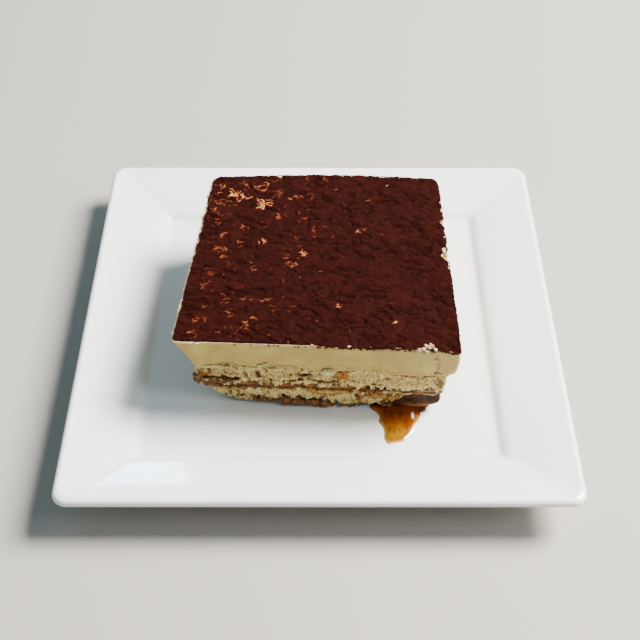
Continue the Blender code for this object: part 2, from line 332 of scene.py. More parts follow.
# %% Porcelain
def make_porcelain():
    material, tree, shader = new_material(
        "white porcelain", 0.28, coat_weight=0.75, coat_roughness=0.06, ior=1.5, specular_ior_level=0.35,
    )
    place = object_place(tree)
    cloud = grain(tree, place, 60.0, 3.0)
    colour = blend(tree, cloud, (0.78, 0.785, 0.79), (0.83, 0.83, 0.825))
    tree.links.new(colour, shader.inputs["Base Color"])
    bumped(tree, shader, grain(tree, place, 16.0, 1.0), 0.10, 0.5)
    return material


porcelain = make_porcelain()
print(porcelain.name)

# %% [markdown]
# ## The plate
# The plate is a square dish: a wide flat rim that slopes down to a sunken floor, a rounded lip, and a
# foot ring below. It follows a rule. Every point of its section, from the middle of the underside out
# over the lip and back to the middle of the floor, runs round the plate as a square with rounded corners.
# So the section is drawn first, with its bends rounded.

# %% Section of the plate
PLATE_HALF = 105.0
LIP_RADIUS = 2.2
LIP_TOP = 20.5
LIP_STEPS = 20
RIM_FOOT = (77.8, 12.4)
UNDER_RIM = 79.0  # where the underside of the rim begins
BEND_STEPS = 7
SECTION = (  # distance from the middle, height, and radius of the bend there, in millimetres
    (56.5, 3.8, 0.6), (57.1, 0.0, 0.5), (63.4, 0.0, 0.5), (64.4, 3.9, 1.0), (UNDER_RIM, 8.0, 6.0),
)
WELL = ((77.8, 12.4, 2.2), (74.6, 9.9, 1.6), (72.3, 9.6, 1.5))


def bend(before, corner, after, radius):
    """Points of a rounded corner between two straight runs."""
    to_last = (before - corner).normalized()
    to_next = (after - corner).normalized()
    reach = min(radius, (before - corner).length * 0.45, (after - corner).length * 0.45)
    start = corner + to_last * reach
    end = corner + to_next * reach
    steps = [step / (BEND_STEPS - 1) for step in range(BEND_STEPS)]
    return [start * (1 - t) ** 2 + corner * 2 * t * (1 - t) + end * t ** 2 for t in steps]


def plate_section():
    slope = math.atan2(LIP_TOP - RIM_FOOT[1], PLATE_HALF - LIP_RADIUS - RIM_FOOT[0])
    centre = Vector((PLATE_HALF - LIP_RADIUS, LIP_TOP - LIP_RADIUS))
    lip = []
    for step in range(LIP_STEPS + 1):
        angle = slope - math.pi / 2 + math.pi * step / LIP_STEPS
        lip.append(centre + LIP_RADIUS * Vector((math.cos(angle), math.sin(angle))))
    line = [Vector((0.0, SECTION[0][1]))]
    last = Vector((0.0, WELL[-1][1]))
    for first, bends, end in ((line[0], SECTION, lip[0]), (lip[-1], WELL, last)):
        stations = [first, *(Vector(point[:2]) for point in bends), end]
        for index, point in enumerate(bends):
            line.extend(bend(*stations[index:index + 3], point[2]))
        if bends is SECTION:
            line.extend(lip)
    return [*line, last]


section = plate_section()
print(len(section), "points in the section")

# %% [markdown]
# ## Squares with rounded corners
# Geometry Nodes turn each point of the section into a square with rounded corners. A grid has one row for
# each point of the section and one column for each step round the corners, and each of its points looks
# up the point of the section that its row stands for.

# %% Plate
RIM_CORNER = 6.0
NARROW_CORNER = 4.0
WELL_CORNER = 3.0
FOOT_CORNER = 8.0
CORNER_STEPS = 14


def corner_radius(out, past_lip):
    """Radius of the plate's corners at a distance from its middle."""
    if out < RIM_CORNER:
        return out
    if past_lip and out <= RIM_FOOT[0] + 1:
        return WELL_CORNER
    if past_lip or out > UNDER_RIM:
        share = (out - UNDER_RIM) / (PLATE_HALF - UNDER_RIM)
        return NARROW_CORNER + (RIM_CORNER - NARROW_CORNER) * max(share, 0.0)
    return FOOT_CORNER


def divided(tree, number, size):
    """How many whole times a size goes into a whole number, and what is left."""
    times = sum_of(tree, "FLOOR", sum_of(tree, "DIVIDE", sum_of(tree, "ADD", number, 0.5), size))
    return times, sum_of(tree, "SUBTRACT", number, sum_of(tree, "MULTIPLY", times, size))


def plate_tree():
    inputs = {"Corner Steps": ("Int", CORNER_STEPS), "Material": ("Material", None)}
    tree, given = new_tree("rounded squares", inputs)
    line = given["Geometry"]
    stations = add(tree, "GeometryNodeAttributeDomainSize", {"Geometry": line}, output="Point Count")
    steps = given["Corner Steps"]
    around = sum_of(tree, "MULTIPLY", steps, 4.0)
    columns = sum_of(tree, "ADD", around, 1.0)
    size = {"Size X": 1.0, "Size Y": 1.0, "Vertices X": stations, "Vertices Y": columns}
    grid = add(tree, "GeometryNodeMeshGrid", size)
    station, column = divided(tree, add(tree, "GeometryNodeInputIndex"), columns)
    quarter, step = divided(tree, sum_of(tree, "MODULO", column, around), steps)
    share = sum_of(tree, "DIVIDE", step, sum_of(tree, "SUBTRACT", steps, 1.0))
    angle = sum_of(tree, "MULTIPLY", sum_of(tree, "ADD", quarter, share), math.pi / 2)
    middle = sum_of(tree, "MULTIPLY", sum_of(tree, "ADD", quarter, 0.5), math.pi / 2)
    at_station = {"Geometry": line, "Index": station}
    place = {**at_station, "Value": add(tree, "GeometryNodeInputPosition")}
    place = add(tree, "GeometryNodeSampleIndex", place, data_type="FLOAT_VECTOR")
    radius = {**at_station, "Value": stored(tree, "corner")}
    radius = add(tree, "GeometryNodeSampleIndex", radius, data_type="FLOAT")
    parts = tree.nodes.new("ShaderNodeSeparateXYZ")
    tree.links.new(place, parts.inputs[0])
    centre = sum_of(tree, "SUBTRACT", parts.outputs["X"], radius)
    sides = []
    for operation in ("COSINE", "SINE"):
        sign = sum_of(tree, "SIGN", sum_of(tree, operation, middle))
        curve = sum_of(tree, "MULTIPLY", radius, sum_of(tree, operation, angle))
        sides.append(sum_of(tree, "MULTIPLY_ADD", sign, centre, curve))
    spot = add(tree, "ShaderNodeCombineXYZ", {"X": sides[0], "Y": sides[1], "Z": parts.outputs["Z"]})
    shaped = add(tree, "GeometryNodeSetPosition", {"Geometry": grid, "Position": spot})
    joined = add(tree, "GeometryNodeMergeByDistance", {"Geometry": shaped, "Distance": 1e-6})
    smooth = add(tree, "GeometryNodeSetShadeSmooth", {"Geometry": joined, "Shade Smooth": True})
    finish_tree(tree, smooth, given["Material"])
    return tree


lip_at = max(range(len(section)), key=lambda index: section[index].x)
radii = [corner_radius(point.x, index > lip_at) * MM for index, point in enumerate(section)]
places = [(point.x * MM, 0.0, point.y * MM) for point in section]
plate = new_piece("porcelain_plate", places, [], {"corner": radii})
run_tree(plate, plate_tree(), {"Material": porcelain})
print("plate", [round(1000 * side, 1) for side in plate.dimensions])
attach(plate, "root")
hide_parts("plate")

# %% [markdown]
# ## The form of the slice
# A knife cut the slice from a dish, and it has sagged on the plate: the top is the widest, the left side
# leans in strongly, and the right side a little. One rule gives its outline at any height: four corners
# that draw in by an amount read from a short list, and rounded by a radius. All the layers are cut from
# this one outline, so that they meet flush. The outline is then divided evenly, so that the mesh has the
# same fineness everywhere.

# %% Outline of the slice
FLOOR_Z = 9.6
BASE_Z = 9.9
SEAM_BASE_Z = 21.5
SEAM_TOP_Z = 23.2
CREAM_BASE_Z = 34.8
COCOA_BASE_Z = 50.6
TOP_Z = 51.5
TOP_CORNERS = ((-59.8, -47.4), (57.0, -52.8), (55.0, 57.0), (-49.2, 57.5))
TOP_RADII = (2.0, 2.2, 6.0, 4.0)
BASE_RADII = (11.5, 5.0, 9.0, 11.0)
LEFT_LEAN = (
    (FLOOR_Z, 17.6), (15.0, 13.4), (19.5, 10.9), (SEAM_TOP_Z, 8.0), (27.0, 7.3), (CREAM_BASE_Z, 7.3),
    (43.0, 3.6), (49.0, 0.4), (TOP_Z, 0.0),
)
RIGHT_LEAN = (
    (FLOOR_Z, 8.0), (16.0, 6.2), (SEAM_BASE_Z, 4.8), (30.0, 4.3), (CREAM_BASE_Z, 3.2), (37.0, 0.9),
    (41.0, -0.3), (45.0, -0.5), (49.0, -0.2), (TOP_Z, 0.0),
)
FRONT_LEAN = ((FLOOR_Z, 3.8), (CREAM_BASE_Z, 1.7), (TOP_Z, 0.0))
BACK_LEAN = ((FLOOR_Z, 4.6), (CREAM_BASE_Z, 2.2), (TOP_Z, 0.0))
BACK_BOW = 2.6
EDGE_BITES = ((3.6, 4.6, 2.8), (25.8, 3.0, 1.6))  # middle, half length and depth
BITE_FOOT_Z = 37.0
DROOP = (57.5, -53.5, 9.0, 2.4)  # x, y, reach and depth
FINE = 120  # points along a straight side before it is divided evenly
FRONT_Y = -40.0  # every point of the cut front lies before this line
print("the slice is", round(TOP_Z - FLOOR_Z, 1), "mm high")

# %% [markdown]
# ## The outline at one height
# The four corners are drawn in by what the lists say, each corner becomes a short arc, and each side is
# divided evenly from the middle of one arc to the middle of the next. The back bows out a little, and two
# bites are torn from the right edge near the top.

# %% Rings round the slice
def along(pairs, height):
    """Value at a height in a rising list of (height, value) pairs."""
    return np.interp(height, [pair[0] for pair in pairs], [pair[1] for pair in pairs])


def even(points, count):
    """The same line as points at even steps, its two ends kept."""
    steps = np.linalg.norm(np.diff(points, axis=0), axis=1)
    lengths = np.concatenate(([0.0], np.cumsum(steps)))
    wanted = np.linspace(0.0, lengths[-1], count)
    return np.column_stack([np.interp(wanted, lengths, points[:, axis]) for axis in range(2)])


def four_corners(height, right_x=None):
    """Corners and their radii at a height. right_x cuts the outline off there."""
    left, right = along(LEFT_LEAN, height), along(RIGHT_LEAN, height)
    front, back = along(FRONT_LEAN, height), along(BACK_LEAN, height)
    insets = np.array(((left, front), (-right, front), (-right, -back), (left, -back)))
    corners = np.array(TOP_CORNERS) + insets
    share = np.clip((height - FLOOR_Z) / (SEAM_TOP_Z - FLOOR_Z), 0.0, 1.0)
    radii = np.array(BASE_RADII) * (1 - share) + np.array(TOP_RADII) * share
    if right_x is not None:
        for near, far in ((0, 1), (3, 2)):
            cut = (right_x - corners[near, 0]) / (corners[far, 0] - corners[near, 0])
            corners[far] = corners[near] + (corners[far] - corners[near]) * cut
        radii[1] = radii[2] = TOP_RADII[0]
    return corners, radii


def four_sides(corners, radii, count):
    """Front, right, back and left side, each as count + 1 points from corner middle to corner middle."""
    arcs = []
    for index, corner in enumerate(corners):
        ends = []
        for other in (corners[index - 1], corners[(index + 1) % 4]):
            ends.append(corner + (other - corner) / np.linalg.norm(other - corner) * radii[index])
        t = np.linspace(0.0, 1.0, 2 * FINE + 1)[:, None]
        arcs.append(ends[0] * (1 - t) ** 2 + corner * 2 * t * (1 - t) + ends[1] * t ** 2)
    sides = []
    for index, arc in enumerate(arcs):
        after = arcs[(index + 1) % 4]
        straight = np.linspace(arc[-1], after[0], FINE)
        sides.append(even(np.vstack((arc[FINE:], straight[1:-1], after[:FINE + 1])), count + 1))
    return sides


def bite_depth(y, height):
    """How much of the right edge has torn away, in millimetres."""
    fade = max((height - BITE_FOOT_Z) / (TOP_Z - BITE_FOOT_Z), 0.0)
    depth = np.zeros_like(y)
    for centre, reach, deep in EDGE_BITES:
        off = np.clip(np.abs(y - centre) / reach, 0.0, 1.0)
        depth += deep * fade * (1 + np.cos(math.pi * off)) / 2
    return depth


def slice_sides(height, count, right_x=None):
    """The four sides at a height, with the bowed back and the torn right edge."""
    corners, radii = four_corners(height, right_x)
    front, right_side, back, left_side = four_sides(corners, radii, count)
    half = (corners[2, 0] - corners[3, 0]) / 2
    middle = (corners[2, 0] + corners[3, 0]) / 2
    off = np.clip((back[:, 0] - middle) / half, -1.0, 1.0)
    back[:, 1] += BACK_BOW * np.cos(math.pi / 2 * off)
    if right_x is None:
        right_side[:, 0] -= bite_depth(right_side[:, 1], height)
    return front, right_side, back, left_side


def droop(plan):
    """How far the front right corner of the top hangs down at each place."""
    corner_x, corner_y, reach, deep = DROOP
    return deep * ease(1 - np.hypot(plan[:, 0] - corner_x, plan[:, 1] - corner_y) / reach)


def slice_ring(height, count, right_x=None):
    """The whole outline at a height, anticlockwise."""
    return np.vstack([side[:-1] for side in slice_sides(height, count, right_x)])


def outward_of(ring):
    """Level directions that point away from the slice, one for each point."""
    across = np.roll(ring, -1, axis=0) - np.roll(ring, 1, axis=0)
    normal = np.column_stack((across[:, 1], -across[:, 0]))
    return normal / np.linalg.norm(normal, axis=1)[:, None]


def front_share(y, fade=4.0):
    """1 on the cut front and 0 elsewhere, with a soft change over some millimetres."""
    return ease((FRONT_Y - y) / fade)


top_ring = slice_ring(TOP_Z, 50)
print("top", np.round(top_ring.min(axis=0), 1), np.round(top_ring.max(axis=0), 1))

# %% [markdown]
# ## Layers with uneven edges
# No layer of a real slice ends at one height. Along the cut front, the heights of the edges are given at
# a few places, and round the other sides smooth noise lifts and lowers them. A layer is a fine wall
# between its two edges that rounds inwards at both, and caps that close it. Each point keeps how high it
# lies in its layer and how far it is free to be roughened.

# %% Walls of the layers
CREAM_FOOT_FRONT = (
    (-56, 33.9), (-47, 34.8), (-39, 36.4), (-30, 35.6), (-20, 35.2), (-8, 35.3), (0, 34.0), (9, 34.6),
    (21, 35.8), (31, 33.4), (41, 33.0), (50, 34.2), (56, 34.4),
)
SEAM_FRONT = (
    (-56, 22.6), (-46, 22.6), (-39, 21.7), (-29, 22.4), (-21, 21.6), (-14, 22.6), (-10, 23.4), (-5, 22.4),
    (1, 21.9), (10, 22.6), (22, 22.4), (30, 22.0), (39, 21.4), (46, 22.4), (56, 22.6),
)
SEAM_HALF = 0.95
SEAM_LEVEL = 22.4
SEAM_WANDER = 0.7
CREAM_WANDER = 1.0
WANDER_SIZE = 19.0
EDGE_ZONE = 0.7  # share of the height, about its middle, that stays straight
CAP_STEPS = ((1.4, 0.3), (4.5, 0.0))  # how far in, and how loose


def uneven(ring, level, wander, front_line, seed):
    """Heights of an edge round the slice: given along the front, wandering elsewhere."""
    places = [(x, y, seed * 40.0) for x, y in ring]
    heights = level + wander * noise_at(places, WANDER_SIZE, seed)
    given = np.interp(ring[:, 0], [pair[0] for pair in front_line], [pair[1] for pair in front_line])
    return heights + (given - heights) * front_share(ring[:, 1], 6.0)


def seam_middle(ring):
    """Height of the middle of the seam round the slice."""
    return uneven(ring, SEAM_LEVEL, SEAM_WANDER, SEAM_FRONT, 1.0)


def cream_foot(ring):
    """Height at which the cream begins round the slice."""
    return uneven(ring, CREAM_BASE_Z, CREAM_WANDER, CREAM_FOOT_FRONT, 2.0)


def ragged(ring, size, height, seed):
    """Uneven height of a torn edge, by noise along it."""
    return height * noise_at(np.column_stack((ring, np.zeros(len(ring)))), size, seed)


def teeth(ring, width, length, seed):
    """Short torn spikes along an edge."""
    peaks = np.clip(2.6 * ragged(ring, width, 1.0, seed), 0.0, 1.0)
    return length * peaks


# %% [markdown]
# ## One wall for every layer
# The rings of a layer are stacked from its lower to its upper edge. Two smaller rings at each end and a
# fan of triangles close it, so that it is a solid body like the real layer and not only a skin.

# %% Closed layers
def layer_wall(levels, edges, per_side, rows, rounding, right_x=None, bulge=None, sink=0.0):
    """A closed layer. levels are its nominal heights and edges the real ones, below and above."""
    rings, shares, loose = [], [], []
    for share in np.linspace(0.0, 1.0, rows):
        ring = slice_ring(levels[0] + (levels[1] - levels[0]) * share, per_side, right_x)
        near_end = np.clip((abs(2 * share - 1) - EDGE_ZONE) / (1 - EDGE_ZONE), 0.0, 1.0)
        ring = ring - outward_of(ring) * rounding[int(share > 0.5)] * near_end ** 2
        if bulge is not None:
            ring = ring + outward_of(ring) * bulge(ring, share)[:, None]
        rings.append(np.column_stack((ring, edges[0] + (edges[1] - edges[0]) * share)))
        shares.append(share)
        loose.append(1.0)
    heights = (rings[0][:, 2], rings[-1][:, 2])
    for inset, free in CAP_STEPS:
        for end in (0, 1):
            plan = slice_ring(levels[end], per_side, right_x)
            plan = plan - outward_of(plan) * (rounding[end] + inset)
            at = end * len(rings)
            rings.insert(at, np.column_stack((plan, heights[end] + sink * end)))
            shares.insert(at, float(end))
            loose.insert(at, free)
    columns = len(rings[0])
    faces = grid_faces(len(rings), columns, closed=True)
    count = len(rings) * columns
    faces += fan(np.arange(columns), count, True)
    faces += fan(np.arange(count - columns, count), count + 1, False)
    points = np.vstack((*rings, rings[0].mean(axis=0), rings[-1].mean(axis=0)))
    share = np.append(np.repeat(shares, columns), (0.0, 1.0))
    loose = np.append(np.repeat(loose, columns), (0.0, 0.0))
    return points, faces, share, loose


# %% [markdown]
# ## Marks on the cut front
# Coffee has soaked into the sponge in some places and not in others, and the front of this slice has a
# few marks of its own. A stain is an oval spot with a soft, noisy border. Its place is given as x and z
# on the front, then come half its length, half its height and its strength. A gap or a crack is a crooked
# line through a few points.

# %% Marks of the front
SPOT_SIZE = 2.4
SPOT_WARP = (1.1, 0.8)  # how far noise moves the border of a spot, along x and z
LINE_NOISE_SIZE = 1.1
LINE_WARP = 0.45


def mark_line(values, plan, line, width, level):
    """Lays one line into the values at the points, strongest along its middle and thin at its ends."""
    low, high = line.min(axis=0) - width, line.max(axis=0) + width
    near = np.flatnonzero(np.all((plan > low) & (plan < high), axis=1))
    for order, (start, end) in enumerate(zip(line, line[1:])):
        swell = 0.55 + 0.45 * math.sin(math.pi * (order + 0.5) / (len(line) - 1))
        run = end - start
        share = np.clip((plan[near] - start) @ run / (run @ run), 0.0, 1.0)
        away = np.linalg.norm(plan[near] - start - share[:, None] * run, axis=1)
        values[near] = np.maximum(values[near], level * np.clip(1.25 - away / (width * swell), 0.0, 1.0))


def line_marks(points, lines, seed):
    """Strength of crooked marks on the front. Each has half its width, a strength, and points as x and z."""
    shift = [noise_at(points, LINE_NOISE_SIZE, seed + step) for step in (0.0, 3.0)]
    plan = points[:, (0, 2)] + LINE_WARP * np.column_stack(shift)
    strength = np.zeros(len(points))
    for half_width, level, *line in lines:
        mark_line(strength, plan, np.array(line), 1.5 * half_width, level)
    return strength * front_share(points[:, 1])


def spots(points, marks, seed):
    """Strength of the marks at each point of the front, 0 elsewhere."""
    warp = noise_at(points, SPOT_SIZE, seed)
    warp_up = noise_at(points, SPOT_SIZE, seed + 5.0)
    strength = np.zeros(len(points))
    for x, z, half_length, half_height, depth in marks:
        across = (points[:, 0] + SPOT_WARP[0] * warp - x) / half_length
        up = (points[:, 2] + SPOT_WARP[1] * warp_up - z) / half_height
        strength = np.maximum(strength, depth * ease(1.4 - 1.1 * np.hypot(across, up)))
    return strength * front_share(points[:, 1])


# %% [markdown]
# ## Where the marks are
# The coffee stains, the golden crust and the dents of both sponge layers come first, then the gaps in
# both and the thin lines near the top and the right end of the upper one.

# %% Places of the marks
# The wide weak spot at x -41, z 30.8 darkens the left end of the layer, partly as coffee and partly as
# painted shadow.
UPPER_COFFEE = (
    (-45, 26.5, 6.5, 2.2, 1.0), (-38, 26.0, 5.5, 1.9, 1.0), (-41, 30.8, 12.0, 3.6, 0.48),
    (-52, 27.0, 3.6, 3.2, 0.8), (-37, 35.2, 5.0, 0.9, 0.6), (-30.5, 28.6, 0.9, 1.8, 0.9),
    (-43, 24.0, 6.5, 1.1, 0.9), (-12.5, 35.3, 6.0, 1.0, 0.65), (-7, 30.4, 4.6, 1.1, 0.9),
    (-2, 27.2, 3.2, 1.0, 1.0), (5, 26.2, 4.5, 0.9, 0.9), (25, 25.6, 5.5, 0.8, 0.8),
    (50, 28.6, 2.6, 5.5, 0.55), (32, 33.0, 6.0, 0.8, 0.5), (-22, 25.6, 5.0, 0.8, 0.6),
)
UPPER_GOLD = (
    (-48, 28.9, 2.6, 1.6, 1.0), (9.0, 30.6, 4.2, 2.9, 1.0), (11, 34.4, 1.7, 2.0, 0.9),
    (-18.5, 34.4, 1.6, 1.2, 0.7),
)
UPPER_DENTS = (
    (-44, 26.7, 6.0, 1.2, 1.3), (-37, 26.2, 4.5, 1.1, 1.2), (-7, 30.6, 3.6, 1.2, 1.1),
    (-2, 27.2, 2.8, 1.0, 1.1), (-30.5, 28.6, 0.7, 1.6, 0.9), (6, 26.2, 3.6, 0.7, 0.6),
    (28, 29.6, 2.6, 0.7, 0.5), (-26, 29.0, 2.6, 0.6, 0.5),
)
LOWER_COFFEE = (
    (-46, 20.2, 7.0, 1.4, 0.8), (-25, 13.0, 5.0, 1.2, 1.0), (-9, 11.3, 7.0, 1.3, 0.95),
    (5, 11.6, 5.0, 1.0, 0.9), (16.6, 17.4, 1.1, 4.0, 0.85), (24, 20.6, 3.4, 1.5, 1.0),
    (19.5, 19.0, 1.4, 1.2, 0.7), (10, 19.9, 9.0, 0.7, 0.7),
)
LOWER_GOLD = (
    (17, 16.0, 2.2, 4.0, 1.0), (24, 17.8, 5.5, 1.9, 1.0), (29, 17.5, 3.0, 2.4, 1.0),
    (3.4, 19.6, 9.0, 3.6, 1.0), (20.5, 14.0, 1.4, 1.4, 0.6),
)
LOWER_DENTS = (
    (-25, 12.6, 4.0, 0.9, 0.9), (2, 15.0, 2.0, 0.8, 0.5), (-36, 17.6, 2.4, 0.7, 0.5),
    (14, 13.8, 2.2, 0.7, 0.5),
)
UPPER_GAPS = (
    (0.85, 1.2, (-48.2, 26.4), (-44.5, 26.2), (-41.7, 26.5), (-39.5, 25.9), (-34.6, 25.8)),
    (0.60, 1.1, (-25.8, 31.0), (-25.2, 28.4)), (0.55, 1.0, (-29.4, 24.6), (-26.0, 24.4)),
    (0.75, 1.1, (-9.6, 31.6), (-7.0, 30.0), (-4.8, 30.6)),
    (0.70, 1.1, (-4.6, 28.0), (-2.6, 27.2), (0.2, 26.2), (3.0, 25.8)),
    (0.50, 1.0, (-22.6, 23.8), (-20.0, 23.9)), (0.45, 1.0, (7.6, 33.6), (8.8, 33.2)),
    (0.5, 1.0, (-15.0, 25.4), (-10.4, 26.6), (-7.0, 27.4)),
)
UPPER_EDGE_LINES = (
    (0.60, 0.75, (26.0, 34.6), (30.0, 33.0), (34.0, 32.8), (38.0, 32.4), (42.0, 32.2), (46.0, 33.4),
     (51.0, 33.2)),
    (0.50, 0.55, (12.0, 34.4), (17.0, 35.2), (22.0, 35.4), (26.0, 34.2)),
    (0.55, 0.7, (-36.0, 35.6), (-30.0, 35.0), (-24.0, 34.8)),
    (0.55, 0.7, (48.6, 32.4), (50.0, 29.6), (50.4, 26.0)),
)
LOWER_GAPS = (
    (0.55, 1.0, (-33.6, 19.4), (-32.4, 19.0)), (0.50, 1.0, (-33.8, 14.6), (-32.8, 14.2)),
    (0.70, 1.1, (-15.0, 15.4), (-13.2, 14.2)), (1.00, 1.1, (-9.0, 15.0), (-7.0, 13.6), (-6.2, 12.0)),
    (0.45, 1.0, (0.0, 15.6), (1.2, 15.2)), (0.60, 1.0, (15.2, 18.6), (16.6, 16.4)),
)
print(len(UPPER_COFFEE) + len(LOWER_COFFEE), "coffee stains on the front")

# %% [markdown]
# ## Crumb
# A ladyfinger is whipped egg foam, baked: its cut face is a mass of torn cell walls with open pores
# between them. Wide lumps, pores of two sizes and a fine fray are added up in one Geometry Nodes tree and
# push the wall in and out along its normals. The tree also writes how deep each point lies, so that the
# material can paint shade into the pores and hollows, with some coffee brown in it. The same tree serves
# both sponge layers and the soaked finger, with other numbers.

# %% Tree of the crumb
CRUMB_ROUGHNESS = 0.62


def crumb_tree():
    tree, given = new_tree("crumb", {
        "Lump Size": ("Float", 3.6), "Lump Depth": ("Float", 1.5), "Pore Size": ("Float", 2.3),
        "Pore Depth": ("Float", 1.3), "Fray Size": ("Float", 1.1), "Fray Depth": ("Float", 0.9),
        "Dent Depth": ("Float", 1.7), "Scatter": ("Float", 0.7), "Seed": ("Float", 1.0),
        "Material": ("Material", None),
    })
    place = in_millimetres(tree)

    def centred_noise(size, detail, shift, where=place):
        noisy = seeded_noise(tree, given, where, size, detail, shift, Roughness=CRUMB_ROUGHNESS)
        return from_middle(tree, noisy)

    def pores(size, shift, wide):
        warp = seeded_noise(tree, given, place, size, 2.0, shift, output=1)
        moved = vector_of(tree, "ADD", place, astray(tree, warp, 1.6))
        seed = sum_of(tree, "ADD", given["Seed"], shift)
        inputs = {"Vector": moved, "W": seed, "Scale": sum_of(tree, "DIVIDE", 1.0, size)}
        distance = add(tree, "ShaderNodeTexVoronoi", inputs, voronoi_dimensions="4D", feature="F1")
        return smooth_step(tree, distance, wide, wide * 0.35)

    lumps = centred_noise(given["Lump Size"], 2.0, 0.0)
    upright = vector_of(tree, "MULTIPLY", place, (1.0, 1.0, 0.45))
    fray = centred_noise(given["Fray Size"], 3.0, 9.0, upright)
    wide_pores = pores(given["Pore Size"], 3.0, 0.5)
    small_pores = pores(sum_of(tree, "MULTIPLY", given["Pore Size"], 0.45), 6.0, 0.55)
    opened = stored(tree, "open")
    pit = sum_of(tree, "MULTIPLY", sum_of(tree, "MULTIPLY_ADD", small_pores, 0.5, wide_pores), opened)
    dent = stored(tree, "dent")
    height = sum_of(tree, "MULTIPLY", lumps, sum_of(tree, "MULTIPLY", given["Lump Depth"], 2.0))
    height = sum_of(tree, "MULTIPLY_ADD", fray, sum_of(tree, "MULTIPLY", given["Fray Depth"], 2.0), height)
    height = sum_of(tree, "SUBTRACT", height, sum_of(tree, "MULTIPLY", pit, given["Pore Depth"]))
    height = sum_of(tree, "SUBTRACT", height, sum_of(tree, "MULTIPLY", dent, given["Dent Depth"]))
    far = sum_of(tree, "MULTIPLY", sum_of(tree, "MULTIPLY", given["Scatter"], stored(tree, "loose")), 2 * MM)
    stray = astray(tree, seeded_noise(tree, given, place, given["Fray Size"], 2.0, output=1), far)
    push = vector_of(tree, "ADD", along_normal(tree, height), stray)
    # How dark the material paints each point: pores, dents and low fray and lumps, as painted shade with some
    # coffee brown.
    hollow_shade_and_stain = sum_of(tree, "MULTIPLY_ADD", fray, -1.6, sum_of(tree, "ADD", pit, dent))
    hollow_shade_and_stain = sum_of(tree, "MULTIPLY_ADD", sum_of(tree, "MULTIPLY", lumps, opened), -1.5, hollow_shade_and_stain)
    finish_relief(tree, given, push, "pit", hollow_shade_and_stain)
    return tree


crumb = crumb_tree()
print(crumb.name, len(crumb.nodes), "nodes")

# %% [markdown]
# ## The colours of the crumb
# Dry crumb is pale straw. Where its fine relief rises it is painted brighter and where it sinks darker, as
# painted highlight and painted shade, and its pores are painted brown, partly as coffee and partly as
# painted shade. The attributes say where it turns golden, as crust does, where coffee has made it dark and
# wet, where a gap runs, painted dark partly as coffee and partly as painted shade, and where the torn tips
# of a low edge get a painted highlight. Each of these borders is made uneven by noise, so that no edge
# looks drawn.

# %% Sponge material
def make_sponge():
    material, tree, shader = new_material(
        "ladyfinger crumb", None, specular_ior_level=0.2, subsurface_weight=0.12, subsurface_scale=0.0015,
    )
    place = object_place(tree)
    share = smooth_step(tree, grain(tree, place, 1.1, 3.0, 0.65), 0.3, 0.7)
    pale = blend(tree, share, (0.30, 0.205, 0.062), (0.60, 0.442, 0.146))
    # Painted highlight: towards the torn low edge of a layer the crumb is painted lighter, as where its tips
    # catch the light.
    lit_tips = sum_of(tree, "MULTIPLY", value_of(tree, "lit_tips"), 0.65)
    pale = blend(tree, lit_tips, pale, (0.75, 0.580, 0.230))
    cells = grain(tree, place, 0.62, 3.0, 0.7)
    # Painted highlight and painted shade: where the fine relief rises the crumb is painted brighter, where it
    # sinks darker.
    pale = blend(tree, smooth_step(tree, cells, 0.53, 0.68, 0.0, 0.75), pale, (0.86, 0.705, 0.350))
    pale = blend(tree, smooth_step(tree, cells, 0.32, 0.46, 0.6, 0.0), pale, (0.17, 0.090, 0.026))
    # Painted shade in the pores and hollows, brown as partly coffee stain.
    pit = {"Value": value_of(tree, "pit"), "From Min": 0.0, "From Max": 1.3}
    pore_shaded = blend(tree, add(tree, "ShaderNodeMapRange", pit), pale, (0.120, 0.046, 0.012))
    spread = from_middle(tree, grain(tree, place, 1.9, 4.0, 0.6))

    def marked(name, reach, start, end, low=0.0, high=1.0):
        """Where a mark lies, with a border made uneven by the noise."""
        mark = sum_of(tree, "MULTIPLY_ADD", spread, reach, value_of(tree, name))
        return smooth_step(tree, mark, start, end, low, high)

    golden = blend(tree, smooth_step(tree, cells, 0.38, 0.62), (0.19, 0.058, 0.005), (0.46, 0.205, 0.028))
    warm = blend(tree, marked("gold", 0.8, 0.30, 0.72), pore_shaded, golden)
    share = smooth_step(tree, grain(tree, place, 2.2, 3.0), 0.35, 0.7)
    soaked = blend(tree, share, (0.065, 0.024, 0.006), (0.20, 0.078, 0.015))
    wet = marked("coffee", 1.1, 0.28, 0.78)
    damp = blend(tree, wet, warm, soaked)
    # The gaps are painted dark, partly as coffee stain and partly as painted shade: a brown border and a
    # darker core.
    browned = blend(tree, marked("shaded_gap", 0.35, 0.05, 0.45, 0.0, 0.85), damp, (0.130, 0.050, 0.012))
    stained = blend(tree, marked("shaded_gap", 0.35, 0.45, 1.05), browned, (0.052, 0.018, 0.0055))
    tree.links.new(stained, shader.inputs["Base Color"])
    tree.links.new(sum_of(tree, "MULTIPLY_ADD", wet, -0.48, 0.85), shader.inputs["Roughness"])
    bumped(tree, shader, cells, 0.30, 0.9)
    return material


sponge = make_sponge()
print(sponge.name)

# %% [markdown]
# ## The upper ladyfingers
# The upper sponge layer has drawn little coffee: it is pale, with a dark ragged line low in its left half
# where two fingers meet, dark partly from coffee and partly as painted shade in the gap, golden spots where
# the crust shows, and stains that creep in from the seam below.

# %% Upper sponge
SPONGE_COLUMNS = 420
SPONGE_ROWS = 46


def edge_stain(share, points, low_reach, high_reach, seed):
    """Coffee that creeps in from a layer's lower and upper edge, by noisy shares of its height."""
    creep = noise_at(points, 6.0, seed) * 0.5 + noise_at(points, 2.0, seed + 2) * 0.3
    low = ease(1.3 - share / max(low_reach, 1e-3) + creep)
    high = ease(1.3 - (1 - share) / max(high_reach, 1e-3) + creep)
    return np.maximum(low * (low_reach > 0), high * (high_reach > 0))


